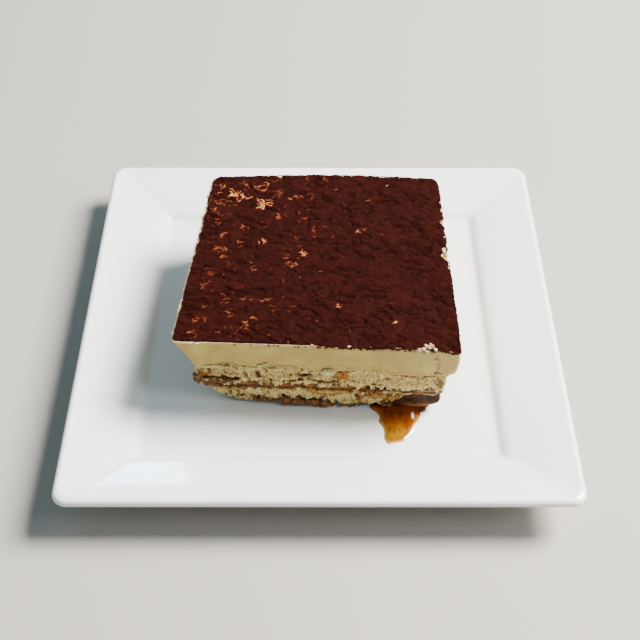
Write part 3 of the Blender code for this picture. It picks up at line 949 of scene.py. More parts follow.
def make_upper_sponge():
    ring = slice_ring(SEAM_TOP_Z, SPONGE_COLUMNS)
    low = seam_middle(ring) + SEAM_HALF + 0.1
    low = low + ragged(ring, 3.4, 0.9, 3) - teeth(ring, 1.3, 2.0, 4)
    high = cream_foot(ring) + 0.7 + ragged(ring, 2.4, 0.6, 5)
    levels = (SEAM_TOP_Z, CREAM_BASE_Z)
    points, faces, share, loose = layer_wall(
        levels, (low, high), SPONGE_COLUMNS, SPONGE_ROWS, (0.6, 0.4))
    on_front = front_share(points[:, 1])
    line = 1 - np.abs(noise_at(points * (1, 1, 2.6), 13.0, 6.0)) * 9.0 - np.abs(share - 0.35) * 1.2
    crease = ease(line) * (1 - on_front)
    # The gap lines are painted dark, partly as coffee and partly as painted shade, and also dent the wall.
    shaded_gap = line_marks(points, UPPER_GAPS, 4.0)
    coffee = (
        spots(points, UPPER_COFFEE, 1.0), edge_stain(share, points, 0.06, 0.0, 8.0),
        line_marks(points, UPPER_EDGE_LINES, 7.0), crease * 0.9,
    )
    dents = (spots(points, UPPER_DENTS, 3.0), 0.28 * shaded_gap, crease * 0.8)
    return new_piece("upper_ladyfingers", points * MM, faces, {
        "shaded_gap": shaded_gap, "loose": loose * (1.35 - 0.6 * share), "coffee": np.max(coffee, axis=0),
        "gold": spots(points, UPPER_GOLD, 2.0), "dent": np.max(dents, axis=0),
        # The last value paints the torn low edge lighter, as a painted highlight.
        "open": 1 - 0.72 * ease((points[:, 0] - 10.0) / 12.0) * on_front, "lit_tips": ease(1 - share / 0.45),
    })


upper = make_upper_sponge()
run_tree(upper, crumb, {"Seed": 2.0, "Material": sponge})
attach(upper, "root")
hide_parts("upper_sponge")

# %% [markdown]
# ## The lower ladyfingers
# The lower layer took up more coffee. Its underside hangs in ragged bits over the plate, and towards the
# right it turns orange and then dark, where the last finger is soaked through. In the middle its low edge
# is lifted, and the browned crust shows there.

# %% Lower sponge
FINGER_LEFT_X = 29.4


def make_lower_sponge():
    cut = FINGER_LEFT_X + 0.3
    ring = slice_ring(SEAM_BASE_Z, SPONGE_COLUMNS, cut)
    bared = 1.9 * ease(1.6 - np.abs(ring[:, 0] + 6.0) / 8.0)
    low = BASE_Z + 1.5 + bared + ragged(ring, 3.4, 2.2, 6) - teeth(ring, 1.4, 2.2, 7)
    low = np.maximum(low, BASE_Z - 0.1)
    high = seam_middle(ring) - SEAM_HALF + 0.3
    high = high + ragged(ring, 2.2, 1.0, 8) + ragged(ring, 1.0, 0.7, 9)
    levels = (BASE_Z, SEAM_BASE_Z)
    points, faces, share, loose = layer_wall(
        levels, (low, high), SPONGE_COLUMNS, SPONGE_ROWS, (1.0, 0.5), cut)
    coffee = np.maximum(spots(points, LOWER_COFFEE, 4.0), edge_stain(share, points, 0.10, 0.14, 12.0))
    gold = np.maximum(spots(points, LOWER_GOLD, 5.0), edge_stain(share, points, 0.16, 0.28, 15.0) * 0.62)
    return new_piece("lower_ladyfingers", points * MM, faces, {
        "shaded_gap": line_marks(points, LOWER_GAPS, 5.0), "loose": loose, "coffee": coffee, "gold": gold,
        "dent": spots(points, LOWER_DENTS, 6.0), "open": 1 - 0.5 * ease(points[:, 0] / 12.0),
        # The last value paints the whole layer somewhat lighter and its torn low edge most, as a painted
        # highlight.
        "lit_tips": np.maximum(ease(1 - share / 0.6), 0.6),
    })


lower = make_lower_sponge()
run_tree(lower, crumb, {"Seed": 5.0, "Material": sponge})
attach(lower, "root")
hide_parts("lower_sponge")

# %% [markdown]
# ## The seam
# Between the two sponge layers a thin line of cream has drunk so much coffee that it is dark brown, with
# a few lenses of caramel and pale cream left in it. It lies a little behind the crumb on both sides,
# except over the soaked finger, where it swells out.

# %% Seam
SEAM_LENSES = (
    (5.5, 22.6, 6.5, 0.45, 0.9), (31, 21.9, 6.0, 0.4, 0.8), (45.5, 22.9, 5.0, 0.35, 0.5),
    (-32, 22.9, 3.0, 0.3, 0.5),
)
SEAM_COLUMNS = 260
SEAM_ROWS = 14


def make_seam_material():
    material, tree, shader = new_material(
        "coffee cream", None, specular_ior_level=0.12, coat_weight=0.05, coat_roughness=0.2,
    )
    place = object_place(tree, (0.35, 0.35, 1.6))
    streak = grain(tree, place, 2.4, 3.0, 0.55, 0.3)
    dark = blend(tree, smooth_step(tree, streak, 0.35, 0.65), (0.075, 0.024, 0.003), (0.22, 0.078, 0.009))
    pale = blend(tree, value_of(tree, "lens"), dark, (0.34, 0.225, 0.092))
    tree.links.new(pale, shader.inputs["Base Color"])
    tree.links.new(smooth_step(tree, streak, 0.3, 0.7, 0.22, 0.5), shader.inputs["Roughness"])
    bumped(tree, shader, grain(tree, object_place(tree), 0.9, 3.0), 0.25, 0.7)
    return material


def seam_bulge(ring, share):
    """The seam lies behind the crumb, but swells out over the soaked finger at the front right."""
    swell = 0.6 * ease((ring[:, 0] - 36.0) / 6.0) * front_share(ring[:, 1])
    places = np.column_stack((ring, np.full(len(ring), share)))
    return swell - 0.45 + 0.35 * noise_at(places, 4.0, 2)


def make_seam():
    ring = slice_ring(SEAM_TOP_Z, SEAM_COLUMNS)
    middle = seam_middle(ring)
    low = middle - SEAM_HALF - 0.3 - 0.7 * ease((30.0 - ring[:, 0]) / 3.0)
    levels, edges = (SEAM_BASE_Z, SEAM_TOP_Z), (low, middle + SEAM_HALF + 0.9)
    points, faces, share, loose = layer_wall(
        levels, edges, SEAM_COLUMNS, SEAM_ROWS, (0.2, 0.2), bulge=seam_bulge)
    away = ease(noise_at(points * (1, 1, 3.5), 5.0, 21.0) * 3.0 - 0.8) * 0.6
    lens_share = np.maximum(spots(points, SEAM_LENSES, 7.0), away * (points[:, 1] > FRONT_Y))
    return new_piece("coffee_seam", points * MM, faces, {"loose": loose, "lens": lens_share})


seam = make_seam()
seam.data.materials.append(make_seam_material())
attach(seam, "root")
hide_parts("middle_seam")
print("seam", len(seam.data.polygons), "faces")

# %% [markdown]
# ## The soaked finger
# The last ladyfinger of the lower layer is dark through and through, wet, and so soft that its pores have
# closed. Its round end faces the front and its lower right edge is rounded. It is a lofted bar whose
# rings follow the solid, with a gentler relief than the dry crumb on its front, and a rougher one on the
# right side.

# %% Soaked finger
FINGER = ((29.4, -49.0), (51.4, -49.9), (50.6, 52.0), (29.4, 52.0))
FINGER_RADII = (2.0, 1.8, 4.5, 2.0)
FINGER_TURN_IN = (
    (FLOOR_Z, 9.4), (11.0, 6.6), (12.5, 4.0), (14.0, 1.8), (15.5, 0.5), (17.0, 0.0), (SEAM_BASE_Z, 0.3),
)
FINGER_COLUMNS = 150
FINGER_ROWS = 34


def finger_ring(height):
    turn_in = along(FINGER_TURN_IN, height)
    insets = (
        (0, turn_in / 5), (-turn_in, turn_in / 4), (-turn_in - 0.3, -turn_in / 4), (0, -turn_in / 5),
    )
    sides = four_sides(np.array(FINGER) + np.array(insets), FINGER_RADII, FINGER_COLUMNS)
    return np.vstack([side[:-1] for side in sides])


def make_finger():
    around = 4 * FINGER_COLUMNS
    rings = []
    for height in np.linspace(BASE_Z, SEAM_BASE_Z, FINGER_ROWS):
        rings.append(np.column_stack((finger_ring(height), np.full(around, height))))
    ends = []
    for ring in (rings[0], rings[-1]):
        middle = ring.mean(axis=0)
        ends.append([middle + (ring - middle) * share for share in (0.6, 0.0)])
    rings = [ends[0][1], ends[0][0], *rings, ends[1][0], ends[1][1]]
    points = np.vstack(rings)
    faces = grid_faces(len(rings), around, closed=True)
    x, y, z = points.T
    # Painted reflection: the low right part of the finger, turned towards the lit plate, is marked to be
    # painted amber.
    plate_reflection_rim = ease((15.4 - z) / 2.4 + noise_at(points, 2.6, 31.0) * 0.5) * ease((x - 34.0) / 5.0)
    on_right = ease((x - 48.5) / 1.5) * ease((y + 46.0) / 4.0)
    free = np.clip((z - BASE_Z) / 0.8, 0, 1) * np.clip((SEAM_BASE_Z - z) / 0.5, 0, 1)
    return new_piece("soaked_finger", points * MM, faces, {
        "loose": free * (1 + 2.4 * on_right), "dent": np.zeros(len(points)), "wet": plate_reflection_rim,
    })


finger = make_finger()
print("finger", len(finger.data.polygons), "faces")

# %% [markdown]
# ## Wet and dark
# Sponge that is full of coffee swallows nearly all light, so its brown is close to black, with a few
# paler flecks. Low down at the right, where its rounded lower face looks towards the lit plate, it is
# painted amber, a painted reflection of the plate's light. The relief of the crumb is used again, much
# gentler.

# %% Finish of the soaked finger
def make_soaked_material():
    material, tree, shader = new_material(
        "coffee soaked ladyfinger", None, specular_ior_level=0.03, coat_weight=0.02, coat_roughness=0.15,
    )
    place = object_place(tree)
    cloud = grain(tree, place, 3.4, 4.0, 0.6)
    brown = blend(tree, smooth_step(tree, cloud, 0.35, 0.68), (0.022, 0.009, 0.0035), (0.050, 0.021, 0.009))
    fleck = smooth_step(tree, grain(tree, place, 0.8, 2.0), 0.66, 0.74)
    flecked = blend(tree, fleck, brown, (0.16, 0.095, 0.06))
    # The amber is a painted reflection of the lit plate on the rounded lower face.
    amber = blend(tree, cloud, (0.12, 0.040, 0.012), (0.25, 0.105, 0.036))
    tree.links.new(blend(tree, value_of(tree, "wet"), flecked, amber), shader.inputs["Base Color"])
    tree.links.new(smooth_step(tree, cloud, 0.3, 0.7, 0.26, 0.46), shader.inputs["Roughness"])
    bumped(tree, shader, grain(tree, place, 0.9, 4.0, 0.6), 0.10, 0.7)
    return material


run_tree(finger, crumb, {
    "Lump Size": 6.0, "Lump Depth": 0.45, "Pore Size": 2.2, "Pore Depth": 0.10, "Fray Size": 1.2,
    "Fray Depth": 0.06, "Scatter": 0.1, "Seed": 8.0, "Material": make_soaked_material(),
})
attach(finger, "root")
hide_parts("soaked_ladyfinger")

# %% [markdown]
# ## The cream
# Mascarpone cream is thick enough to keep the marks of the knife: fine slanting streaks on every cut
# side, a soft swell below them, and small tears. The streaks are noise that is stretched along the wall:
# each point carries a place on a wide circle, so that they run on round the corners. At the top left and
# front left the cream stands out past the cocoa by a fraction of a millimetre, as a pale line.

# %% Tree of the knife marks
def cream_tree():
    tree, given = new_tree("knife marks", {
        "Streak Depth": ("Float", 0.26), "Swell Size": ("Float", 9.0), "Swell Depth": ("Float", 0.35),
        "Tear Size": ("Float", 3.2), "Tear Depth": ("Float", 0.45), "Dent Depth": ("Float", 0.9),
        "Seed": ("Float", 1.0), "Material": ("Material", None),
    })
    place = in_millimetres(tree)
    streaks = seeded_noise(tree, given, stored(tree, "drag", "FLOAT_VECTOR"), 1.0, 3.0)
    swell = seeded_noise(tree, given, place, given["Swell Size"], 2.0)
    tear = seeded_noise(tree, given, place, given["Tear Size"], 4.0, 4.0, Roughness=0.6)
    torn = sum_of(tree, "MULTIPLY", smooth_step(tree, tear, 0.60, 0.74), stored(tree, "rough"))
    height = sum_of(tree, "MULTIPLY", from_middle(tree, streaks), given["Streak Depth"])
    height = sum_of(tree, "MULTIPLY_ADD", from_middle(tree, swell), given["Swell Depth"], height)
    height = sum_of(tree, "SUBTRACT", height, sum_of(tree, "MULTIPLY", torn, given["Tear Depth"]))
    dent = sum_of(tree, "MULTIPLY", stored(tree, "dent"), given["Dent Depth"])
    finish_relief(tree, given, along_normal(tree, sum_of(tree, "SUBTRACT", height, dent)), "torn", torn)
    return tree


knife_marks = cream_tree()
print(knife_marks.name, len(knife_marks.nodes), "nodes")

# %% [markdown]
# ## The colours of the cream
# The cream is a warm pale yellow, a little darker in the streaks and cloudy over some millimetres. Light
# goes a short way into it, so the shader scatters some of it below the surface. Coffee has stained it
# along its foot and beside a crack near the right corner.

# %% Cream material
def make_cream_material():
    material, tree, shader = new_material(
        "mascarpone cream", 0.50, specular_ior_level=0.25, subsurface_weight=0.15, subsurface_scale=0.002,
    )
    shader.inputs["Subsurface Radius"].default_value = (1.0, 0.6, 0.3)
    drag = add(tree, "ShaderNodeAttribute", output="Vector", attribute_name="drag")
    wave = {"Vector": drag, "Scale": 1.4, "Detail": 4.0, "Roughness": 0.6}
    streaks = add(tree, "ShaderNodeTexNoise", wave)
    place = object_place(tree)
    base = blend(tree, smooth_step(tree, streaks, 0.36, 0.62), (0.235, 0.160, 0.023), (0.37, 0.268, 0.049))
    cloud = smooth_step(tree, grain(tree, place, 7.0, 3.0), 0.35, 0.75)
    mottled = blend(tree, cloud, base, (0.395, 0.290, 0.053))
    tint = smooth_step(tree, grain(tree, place, 13.0, 3.0), 0.46, 0.66, 0.0, 0.75)
    mottled = blend(tree, tint, mottled, (0.31, 0.200, 0.043))
    dot = smooth_step(tree, grain(tree, place, 0.9, 2.0), 0.66, 0.74, 0.0, 0.7)
    mottled = blend(tree, dot, mottled, (0.50, 0.40, 0.13))
    crest = blend(tree, value_of(tree, "crest"), mottled, (0.50, 0.375, 0.195))
    stain = sum_of(tree, "MULTIPLY_ADD", grain(tree, place, 1.6, 3.0), 0.5, value_of(tree, "stain"))
    stained = blend(tree, smooth_step(tree, stain, 0.5, 1.0), crest, (0.19, 0.098, 0.026))
    tree.links.new(stained, shader.inputs["Base Color"])
    fine = sum_of(tree, "MULTIPLY_ADD", grain(tree, place, 0.6, 3.0, 0.6), 0.5, streaks)
    bumped(tree, shader, fine, 0.14, 0.8)
    return material


cream_material = make_cream_material()
print(cream_material.name)

# %% [markdown]
# ## The block of cream
# The wall of the cream starts at the uneven foot line and ends under the cocoa. Its top is sunk below the
# dust, so that it never pokes through, and its foot swells a little over the sponge.

# %% Cream
DRAG_CIRCLE = 70.0
DRAG_LENGTH = 4.6
DRAG_WIDTH = 0.75
DRAG_SLOPE = 0.30
CREAM_COLUMNS = 280
CREAM_ROWS = 46
CREAM_SINK = -0.9
CREAM_STAINS = (
    (48.2, 43.0, 2.0, 8.0, 0.42), (50.6, 47.0, 2.4, 3.0, 0.36), (48.4, 35.0, 2.2, 0.9, 1.0),
    (46.3, 49.4, 0.8, 0.8, 1.0), (46.9, 44.8, 0.6, 0.6, 0.9), (47.2, 41.0, 0.5, 0.6, 0.7),
    (-14.0, 36.8, 5.5, 0.9, 0.55), (-39.5, 37.0, 3.6, 0.8, 0.6),
)
CREAM_LINES = (
    (0.50, 0.85, (-43.0, 36.2), (-40.0, 37.0), (-37.0, 36.8), (-34.5, 36.2)),
    (0.50, 0.8, (-20.0, 36.2), (-15.0, 36.7), (-9.0, 36.2)),
    (0.45, 0.5, (27.5, 35.0), (31.0, 34.6), (34.5, 35.0), (38.0, 34.3)),
    (0.40, 0.6, (18.5, 36.8), (21.5, 37.0), (25.0, 36.0)),
    (0.40, 0.5, (50.4, 46.2), (53.0, 46.8), (55.4, 46.0)),
)
CRACK = (
    (46.0, 50.2), (46.4, 48.6), (47.6, 46.8), (47.4, 45.0), (48.6, 43.2), (48.0, 41.4), (48.8, 39.4),
    (47.8, 37.4), (48.2, 35.6),
)
CREAM_DENTS = (
    (-30, 38.0, 3.0, 1.0, 0.3), (20, 38.5, 4.0, 0.9, 0.25), (46.4, 49.6, 0.8, 0.8, 1.0),
    (48.2, 35.2, 1.8, 0.6, 0.8),
)


def cream_lip(ring, share):
    """The pale line past the cocoa, widest on the left, and the soft swell of the foot over the sponge."""
    on_left = ease((-ring[:, 0] - 40.0) / 10.0)
    on_front = front_share(ring[:, 1], 6.0) * ease((8.0 - ring[:, 0]) / 20.0)
    shown = np.maximum(on_left, 0.55 * on_front)
    line = (0.80 * shown - 0.28) * ease((share - 0.86) / 0.1)
    torn = (0.2 + 1.2 * on_left) * shown * ease((share - 0.8) / 0.2) * np.abs(ragged(ring, 3.0, 1.0, 17))
    return line + torn + 0.45 * ease((0.14 - share) / 0.14)


def make_cream():
    ring = slice_ring(CREAM_BASE_Z, CREAM_COLUMNS)
    low = cream_foot(ring) - 0.15
    low = low + 0.35 * noise_at(np.column_stack((ring, ring[:, 0])), 2.4, 14)
    high = COCOA_BASE_Z + 0.15 - droop(slice_ring(COCOA_BASE_Z, CREAM_COLUMNS))
    levels = (CREAM_BASE_Z, COCOA_BASE_Z)
    points, faces, share, loose = layer_wall(
        levels, (low, high), CREAM_COLUMNS, CREAM_ROWS, (0.5, 0.1), bulge=cream_lip, sink=CREAM_SINK)
    turn = np.arange(len(points)) % len(ring) / len(ring) * 2 * math.pi
    slant = np.minimum(turn, 2 * math.pi - turn) * DRAG_CIRCLE * DRAG_SLOPE
    drag = np.column_stack((
        np.cos(turn) * DRAG_CIRCLE / DRAG_LENGTH, np.sin(turn) * DRAG_CIRCLE / DRAG_LENGTH,
        (points[:, 2] + slant) / DRAG_WIDTH,
    ))
    rough = 0.25 + 0.75 * ease((points[:, 0] - 44.0) / 6.0) + 0.4 * ease((share - 0.9) / 0.1)
    crack = line_marks(points, ((0.40, 1.0, *CRACK),), 11.0) * (0.55 + 0.9 * noise_at(points, 1.6, 12.0))
    lines = np.maximum(line_marks(points, CREAM_LINES, 13.0), 0.62 * crack)
    return new_piece("cream_layer", points * MM, faces, {
        "loose": loose, "drag": drag, "rough": rough,
        "stain": np.maximum(spots(points, CREAM_STAINS, 9.0), lines),
        "dent": np.maximum(spots(points, CREAM_DENTS, 10.0), 0.8 * crack),
        "crest": ease((share - 0.955) / 0.035),
    })


cream = make_cream()
run_tree(cream, knife_marks, {"Seed": 3.0, "Material": cream_material})
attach(cream, "root")
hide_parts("cream")

# %% [markdown]
# ## The cocoa
# Sifted cocoa lies on the cream like velvet. It has drawn up moisture, so it is dark and red-brown. Where
# the dust is thin, mostly at the back left, orange-brown and pale cream veins show through. Each thin
# place gets a few short crooked strokes, drawn from a fixed seed, and some faint single ones lie between
# them. A stroke is a chain of points, and each point of the skin near it learns how bare it is.

# %% Thin places in the dust
THIN_PLACES = (  # x, y, reach and strength
    (-38.2, 44.6, 5.2, 1.5), (-26.5, 37.8, 4.6, 1.5), (-26.7, 50.0, 4.6, 1.1), (-45.7, 51.1, 4.0, 1.1),
    (-34.0, 52.0, 4.0, 0.8), (-45.1, 39.9, 3.8, 1.0), (-45.5, 32.2, 3.0, 0.9), (-45.5, 25.3, 3.0, 0.9),
    (-42.0, 18.2, 3.8, 1.0), (-41.9, 8.0, 5.4, 1.0), (-18.6, 29.5, 2.6, 1.1), (-11.2, 43.5, 3.2, 1.1),
    (-3.6, 42.1, 2.6, 0.8), (-6.5, 28.4, 3.6, 0.7), (-34.5, 22.6, 2.2, 1.0), (-24.6, 12.6, 2.3, 1.5),
    (-34.7, 12.6, 1.9, 0.9), (-3.5, 20.6, 3.2, 0.8), (-10.3, 15.3, 2.0, 0.8), (-6.9, 5.4, 3.0, 1.35),
    (-11.4, -1.9, 2.6, 1.35), (-28.2, -5.7, 2.0, 0.9), (-5.8, 57.2, 2.2, 1.0), (2.4, 56.0, 2.0, 1.0),
    (-18.0, 46.0, 4.0, 0.8), (-20.0, 55.0, 3.0, 0.8), (-47.5, -27.3, 2.4, 0.8), (-38.7, -25.5, 2.4, 0.9),
    (-32.7, -23.5, 2.0, 0.9), (-28.4, -22.9, 1.8, 0.9), (-23.7, -24.3, 2.6, 1.0),
    (-36.7, -31.4, 2.7, 0.8), (-27.9, -34.3, 1.8, 1.1), (-30.3, -37.2, 2.2, 1.1),
    (-50.5, -36.0, 3.6, 1.0), (-52.0, -42.0, 3.0, 1.1), (-48.0, -15.0, 3.0, 0.8), (-46.0, -8.0, 3.0, 0.8),
    (-40.0, -2.0, 3.0, 0.6), (31.3, 51.7, 1.4, 1.1), (22.6, 40.7, 1.4, 1.0), (17.1, 19.3, 1.7, 1.2),
    (19.8, 20.6, 1.2, 1.1), (7.7, -27.9, 1.9, 1.3), (31.4, -37.1, 1.6, 1.2), (29.8, -26.1, 0.9, 0.9),
    (6.0, 15.9, 1.0, 0.9), (27.2, 17.3, 0.9, 0.9), (-14.1, -36.6, 0.9, 1.0), (-15.2, -22.2, 1.0, 1.0),
    (-19.2, -30.2, 0.9, 0.9),
)
STROKE_STEP = 0.6
STROKE_WARP = 0.42
STROKE_DIRECTIONS = (-38.0, 42.0, 8.0)  # degrees
DIRECTION_SHARES = (0.5, 0.35, 0.15)
STROKE_SEED = 23
STROKES_PER_REACH = 1.8
FAINT_STROKES = 150


def crooked_line(picker, start, length):
    """A short line that wanders as it goes, most often along one of two slanting directions."""
    heading = math.radians(picker.choice(STROKE_DIRECTIONS, p=DIRECTION_SHARES) + picker.normal(0, 14))
    line = [np.array(start)]
    for step in range(max(int(length / STROKE_STEP), 2)):
        heading += picker.normal(0, 0.42)
        line.append(line[-1] + STROKE_STEP * np.array((math.cos(heading), math.sin(heading))))
    return np.array(line) - (line[-1] - line[0]) / 2


def vein_strokes(points):
    """How bare the cream lies at each point, 0 for a full cover of dust."""
    picker = np.random.default_rng(STROKE_SEED)
    shift = np.column_stack((noise_at(points, 1.0, 41.0), noise_at(points, 1.0, 44.0)))
    plan = points[:, :2] + STROKE_WARP * shift
    bare = np.zeros(len(points))
    for x, y, reach, strength in THIN_PLACES:
        for number in range(max(int(reach * strength * STROKES_PER_REACH), 1)):
            out = picker.normal(0, 0.40 * reach, 2) if number else np.zeros(2)
            line = crooked_line(picker, (x + out[0], y + out[1]), reach * picker.uniform(0.5, 1.3))
            mark_line(bare, plan, line, picker.uniform(0.24, 0.50), strength * picker.uniform(0.42, 0.80))
    for number in range(FAINT_STROKES):
        x = -50.0 + 62.0 * picker.random() ** 1.7
        y = 55.0 - 104.0 * picker.random() ** 1.3
        line = crooked_line(picker, (x, y), picker.uniform(1.0, 3.4))
        mark_line(bare, plan, line, picker.uniform(0.28, 0.50), picker.uniform(0.25, 0.55))
    return bare


print(len(THIN_PLACES), "thin places")

# %% [markdown]
# ## The skin of cocoa
# The skin is an even grid stretched between the four sides of the top. It stops short of the edge where
# the pale line of cream shows and hangs over it elsewhere, so a short skirt with a ragged hem runs round
# it, and a fan below closes it.

# %% Cocoa skin
COCOA_STEPS = 290
COCOA_UNDER = 49.9
COCOA_SIZE = 108.0
ROUNDING = 1.1
EDGE_ROUNDING = 0.35
SKIRT = ((0.35, -0.05), (0.75, 0.05), (1.2, 0.5))  # how far down and how far in
PALE_RUN = (  # y and strength of the pale line along the left edge
    (-50, 0.3), (-30, 0.5), (-12, 0.2), (2, 0.8), (14, 1.0),
    (17, 0.3), (20, 1.0), (36, 0.9), (41, 0.2), (52, 0.7),
)


def top_patch(height, count):
    """A grid stretched between the four sides, and the distance of each point to the nearest side."""
    front, right_side, back, left_side = slice_sides(height, count)
    back, left_side = back[::-1], left_side[::-1]
    u = np.linspace(0.0, 1.0, count + 1)
    u_all, v_all = np.meshgrid(u, u)
    u_all, v_all = u_all[..., None], v_all[..., None]
    across = front[None] * (1 - v_all) + back[None] * v_all
    upwards = left_side[:, None] * (1 - u_all) + right_side[:, None] * u_all
    front_line = front[0] * (1 - u_all) + front[-1] * u_all
    back_line = back[0] * (1 - u_all) + back[-1] * u_all
    grid = across + upwards - (front_line * (1 - v_all) + back_line * v_all)
    nearest = np.minimum(np.minimum(u_all, 1 - u_all), np.minimum(v_all, 1 - v_all))
    return grid, nearest[..., 0] * COCOA_SIZE


def drawn_in(grid, count):
    """The skin with an uneven edge, which lies inside the outline on the left and past it elsewhere."""
    plan = grid.reshape(-1, 2)
    fringe = np.abs(ragged(plan, 2.8, 1.0, 55.0)).reshape(count + 1, count + 1)
    fringe += 0.5 * np.abs(ragged(plan, 1.1, 1.0, 56.0)).reshape(count + 1, count + 1)
    near_start = ease(1 - np.linspace(0.0, 1.0, count + 1) * 36.0)
    near_end = near_start[::-1]
    moved = grid.copy()
    pale_run = along(PALE_RUN, grid[..., 1])
    moved[..., 0] += (1.5 * fringe * pale_run + 0.25 * pale_run - 0.2) * near_start[None, :]
    moved[..., 0] -= (0.8 * fringe - 0.60) * near_end[None, :]
    front_strip = 0.26 - 0.95 * ease((grid[..., 0] + 8.0) / 22.0) + 0.40 * fringe
    moved[..., 1] += front_strip * near_start[:, None] - (0.7 * fringe - 0.55) * near_end[:, None]
    return moved


# %% [markdown]
# ## The edge that hangs over
# Three rings go down from the rim of the skin. Each takes the points of the rim, moves them down and a
# little out or in, and the lower two get a ragged hem.

# %% Cocoa and its skirt
def skirt_ring(rim_points, depth, inset):
    """One ring of the skirt below the rim. The two lower ones have a ragged hem, deepest on the front."""
    ring = rim_points.copy()
    hem = 0.45 * noise_at(ring, 1.5, 51.0) + 0.5 * noise_at(ring, 5.0, 52.0)
    ring[:, :2] -= outward_of(ring[:, :2]) * inset
    hem = hem * (1 + 0.8 * ease((-44.0 - ring[:, 1]) / 4.0)) * (depth > 0.5) * 0.8 - droop(ring)
    ring[:, 2] = np.minimum(ring[:, 2] - 0.1, COCOA_BASE_Z + 0.9 - depth + hem)
    return ring


def make_cocoa():
    count = COCOA_STEPS
    grid, away = top_patch(TOP_Z, count)
    flat = drawn_in(grid, count).reshape(-1, 2)
    away = away.reshape(-1)
    rounding = EDGE_ROUNDING + (ROUNDING - EDGE_ROUNDING) * ease((flat[:, 0] + flat[:, 1]) / 60.0)
    drop = rounding * (1 - np.sqrt(1 - np.clip(1 - away / (1.6 * rounding), 0, 1) ** 2))
    points = np.column_stack((flat, TOP_Z - drop - droop(flat)))
    faces = grid_faces(count + 1, count + 1)
    side = np.arange(count)
    row = count + 1
    rim = np.concatenate((side, side * row + count, row * row - 1 - side, (count - side) * row))
    start, loop = len(points), len(rim)
    rings = [skirt_ring(points[rim], depth, inset) for depth, inset in SKIRT]
    numbers = [rim] + [start + np.arange(loop) + order * loop for order in range(len(rings))]
    for above, below in zip(numbers, numbers[1:]):
        strip = np.column_stack((below, np.roll(below, -1), np.roll(above, -1), above))
        faces.extend(strip.tolist())
    faces += fan(numbers[-1], start + loop * len(rings), True)
    points = np.vstack((points, *rings, [[0.0, 0.0, COCOA_UNDER]]))
    skirt_loose = (np.full(loop, 0.5), np.full(loop, 0.3), np.zeros(loop + 1))
    bare = vein_strokes(points)
    bare[start:] = 0.0
    return new_piece("cocoa_dust", points * MM, faces, {
        "loose": np.concatenate((ease(away / 0.8) * 0.75 + 0.25, *skirt_loose)), "bare": bare,
        # The skirt is marked so that the material paints it lighter, as painted light on its shaded faces.
        "skirt_lightened": (np.arange(len(points)) >= start).astype(float),
    })


cocoa = make_cocoa()
print("cocoa", len(cocoa.data.polygons), "faces")

# %% [markdown]
# ## Velvet
# The powder follows every dent of the cream below: soft pebbles a few millimetres wide with fine creases
# between them. A crease lies where smooth noise crosses its middle value, and the tree writes how deep it
# is, because the material paints shade into it.

# %% Relief of the cocoa
def cocoa_tree():
    tree, given = new_tree("cocoa relief", {
        "Swell Size": ("Float", 11.0), "Swell Depth": ("Float", 0.70), "Pebble Size": ("Float", 5.2),
        "Pebble Depth": ("Float", 0.95), "Wrinkle Size": ("Float", 2.3), "Wrinkle Depth": ("Float", 0.36),
        "Grain Size": ("Float", 0.9), "Grain Depth": ("Float", 0.14),
        "Seed": ("Float", 1.0), "Material": ("Material", None),
    })
    place = in_millimetres(tree, (0.78, 1.25, 1.0))
    warp = add(tree, "ShaderNodeTexNoise", {"Vector": place, "Scale": 0.28, "Detail": 2.0}, 1)
    moved = vector_of(tree, "ADD", place, astray(tree, warp, 4.5))

    def creases(size, shift):
        """1 along wandering lines and 0 on the soft lumps between them."""
        wave = from_middle(tree, seeded_noise(tree, given, moved, size, 1.0, shift, Roughness=0.4))
        far = sum_of(tree, "MULTIPLY", sum_of(tree, "ABSOLUTE", wave), 6.0, clamp=True)
        return sum_of(tree, "SUBTRACT", 1.0, sum_of(tree, "POWER", far, 0.6))

    swell = from_middle(tree, seeded_noise(tree, given, place, given["Swell Size"], 2.0))
    patchy = smooth_step(tree, seeded_noise(tree, given, place, 8.0, 1.0, 11.0), 0.35, 0.65, 0.45, 1.0)
    lumps = creases(given["Pebble Size"], 13.0)
    wrinkles = creases(given["Wrinkle Size"], 17.0)
    fine = from_middle(tree, seeded_noise(tree, given, place, given["Grain Size"], 2.0, 5.0))
    height = sum_of(tree, "MULTIPLY", swell, given["Swell Depth"])
    pebbles = sum_of(tree, "MULTIPLY", sum_of(tree, "MULTIPLY", lumps, patchy), given["Pebble Depth"])
    height = sum_of(tree, "SUBTRACT", height, pebbles)
    height = sum_of(tree, "SUBTRACT", height, sum_of(tree, "MULTIPLY", wrinkles, given["Wrinkle Depth"]))
    height = sum_of(tree, "MULTIPLY_ADD", fine, given["Grain Depth"], height)
    height = sum_of(tree, "MULTIPLY_ADD", stored(tree, "bare"), 0.10, height)
    # How deep the creases are, which the material paints darker as shade.
    crease = sum_of(tree, "MULTIPLY", sum_of(tree, "MULTIPLY_ADD", wrinkles, 0.5, lumps), patchy)
    finish_relief(tree, given, along_normal(tree, height), "crease", crease)
    return tree


velvet = cocoa_tree()
print(velvet.name, len(velvet.nodes), "nodes")
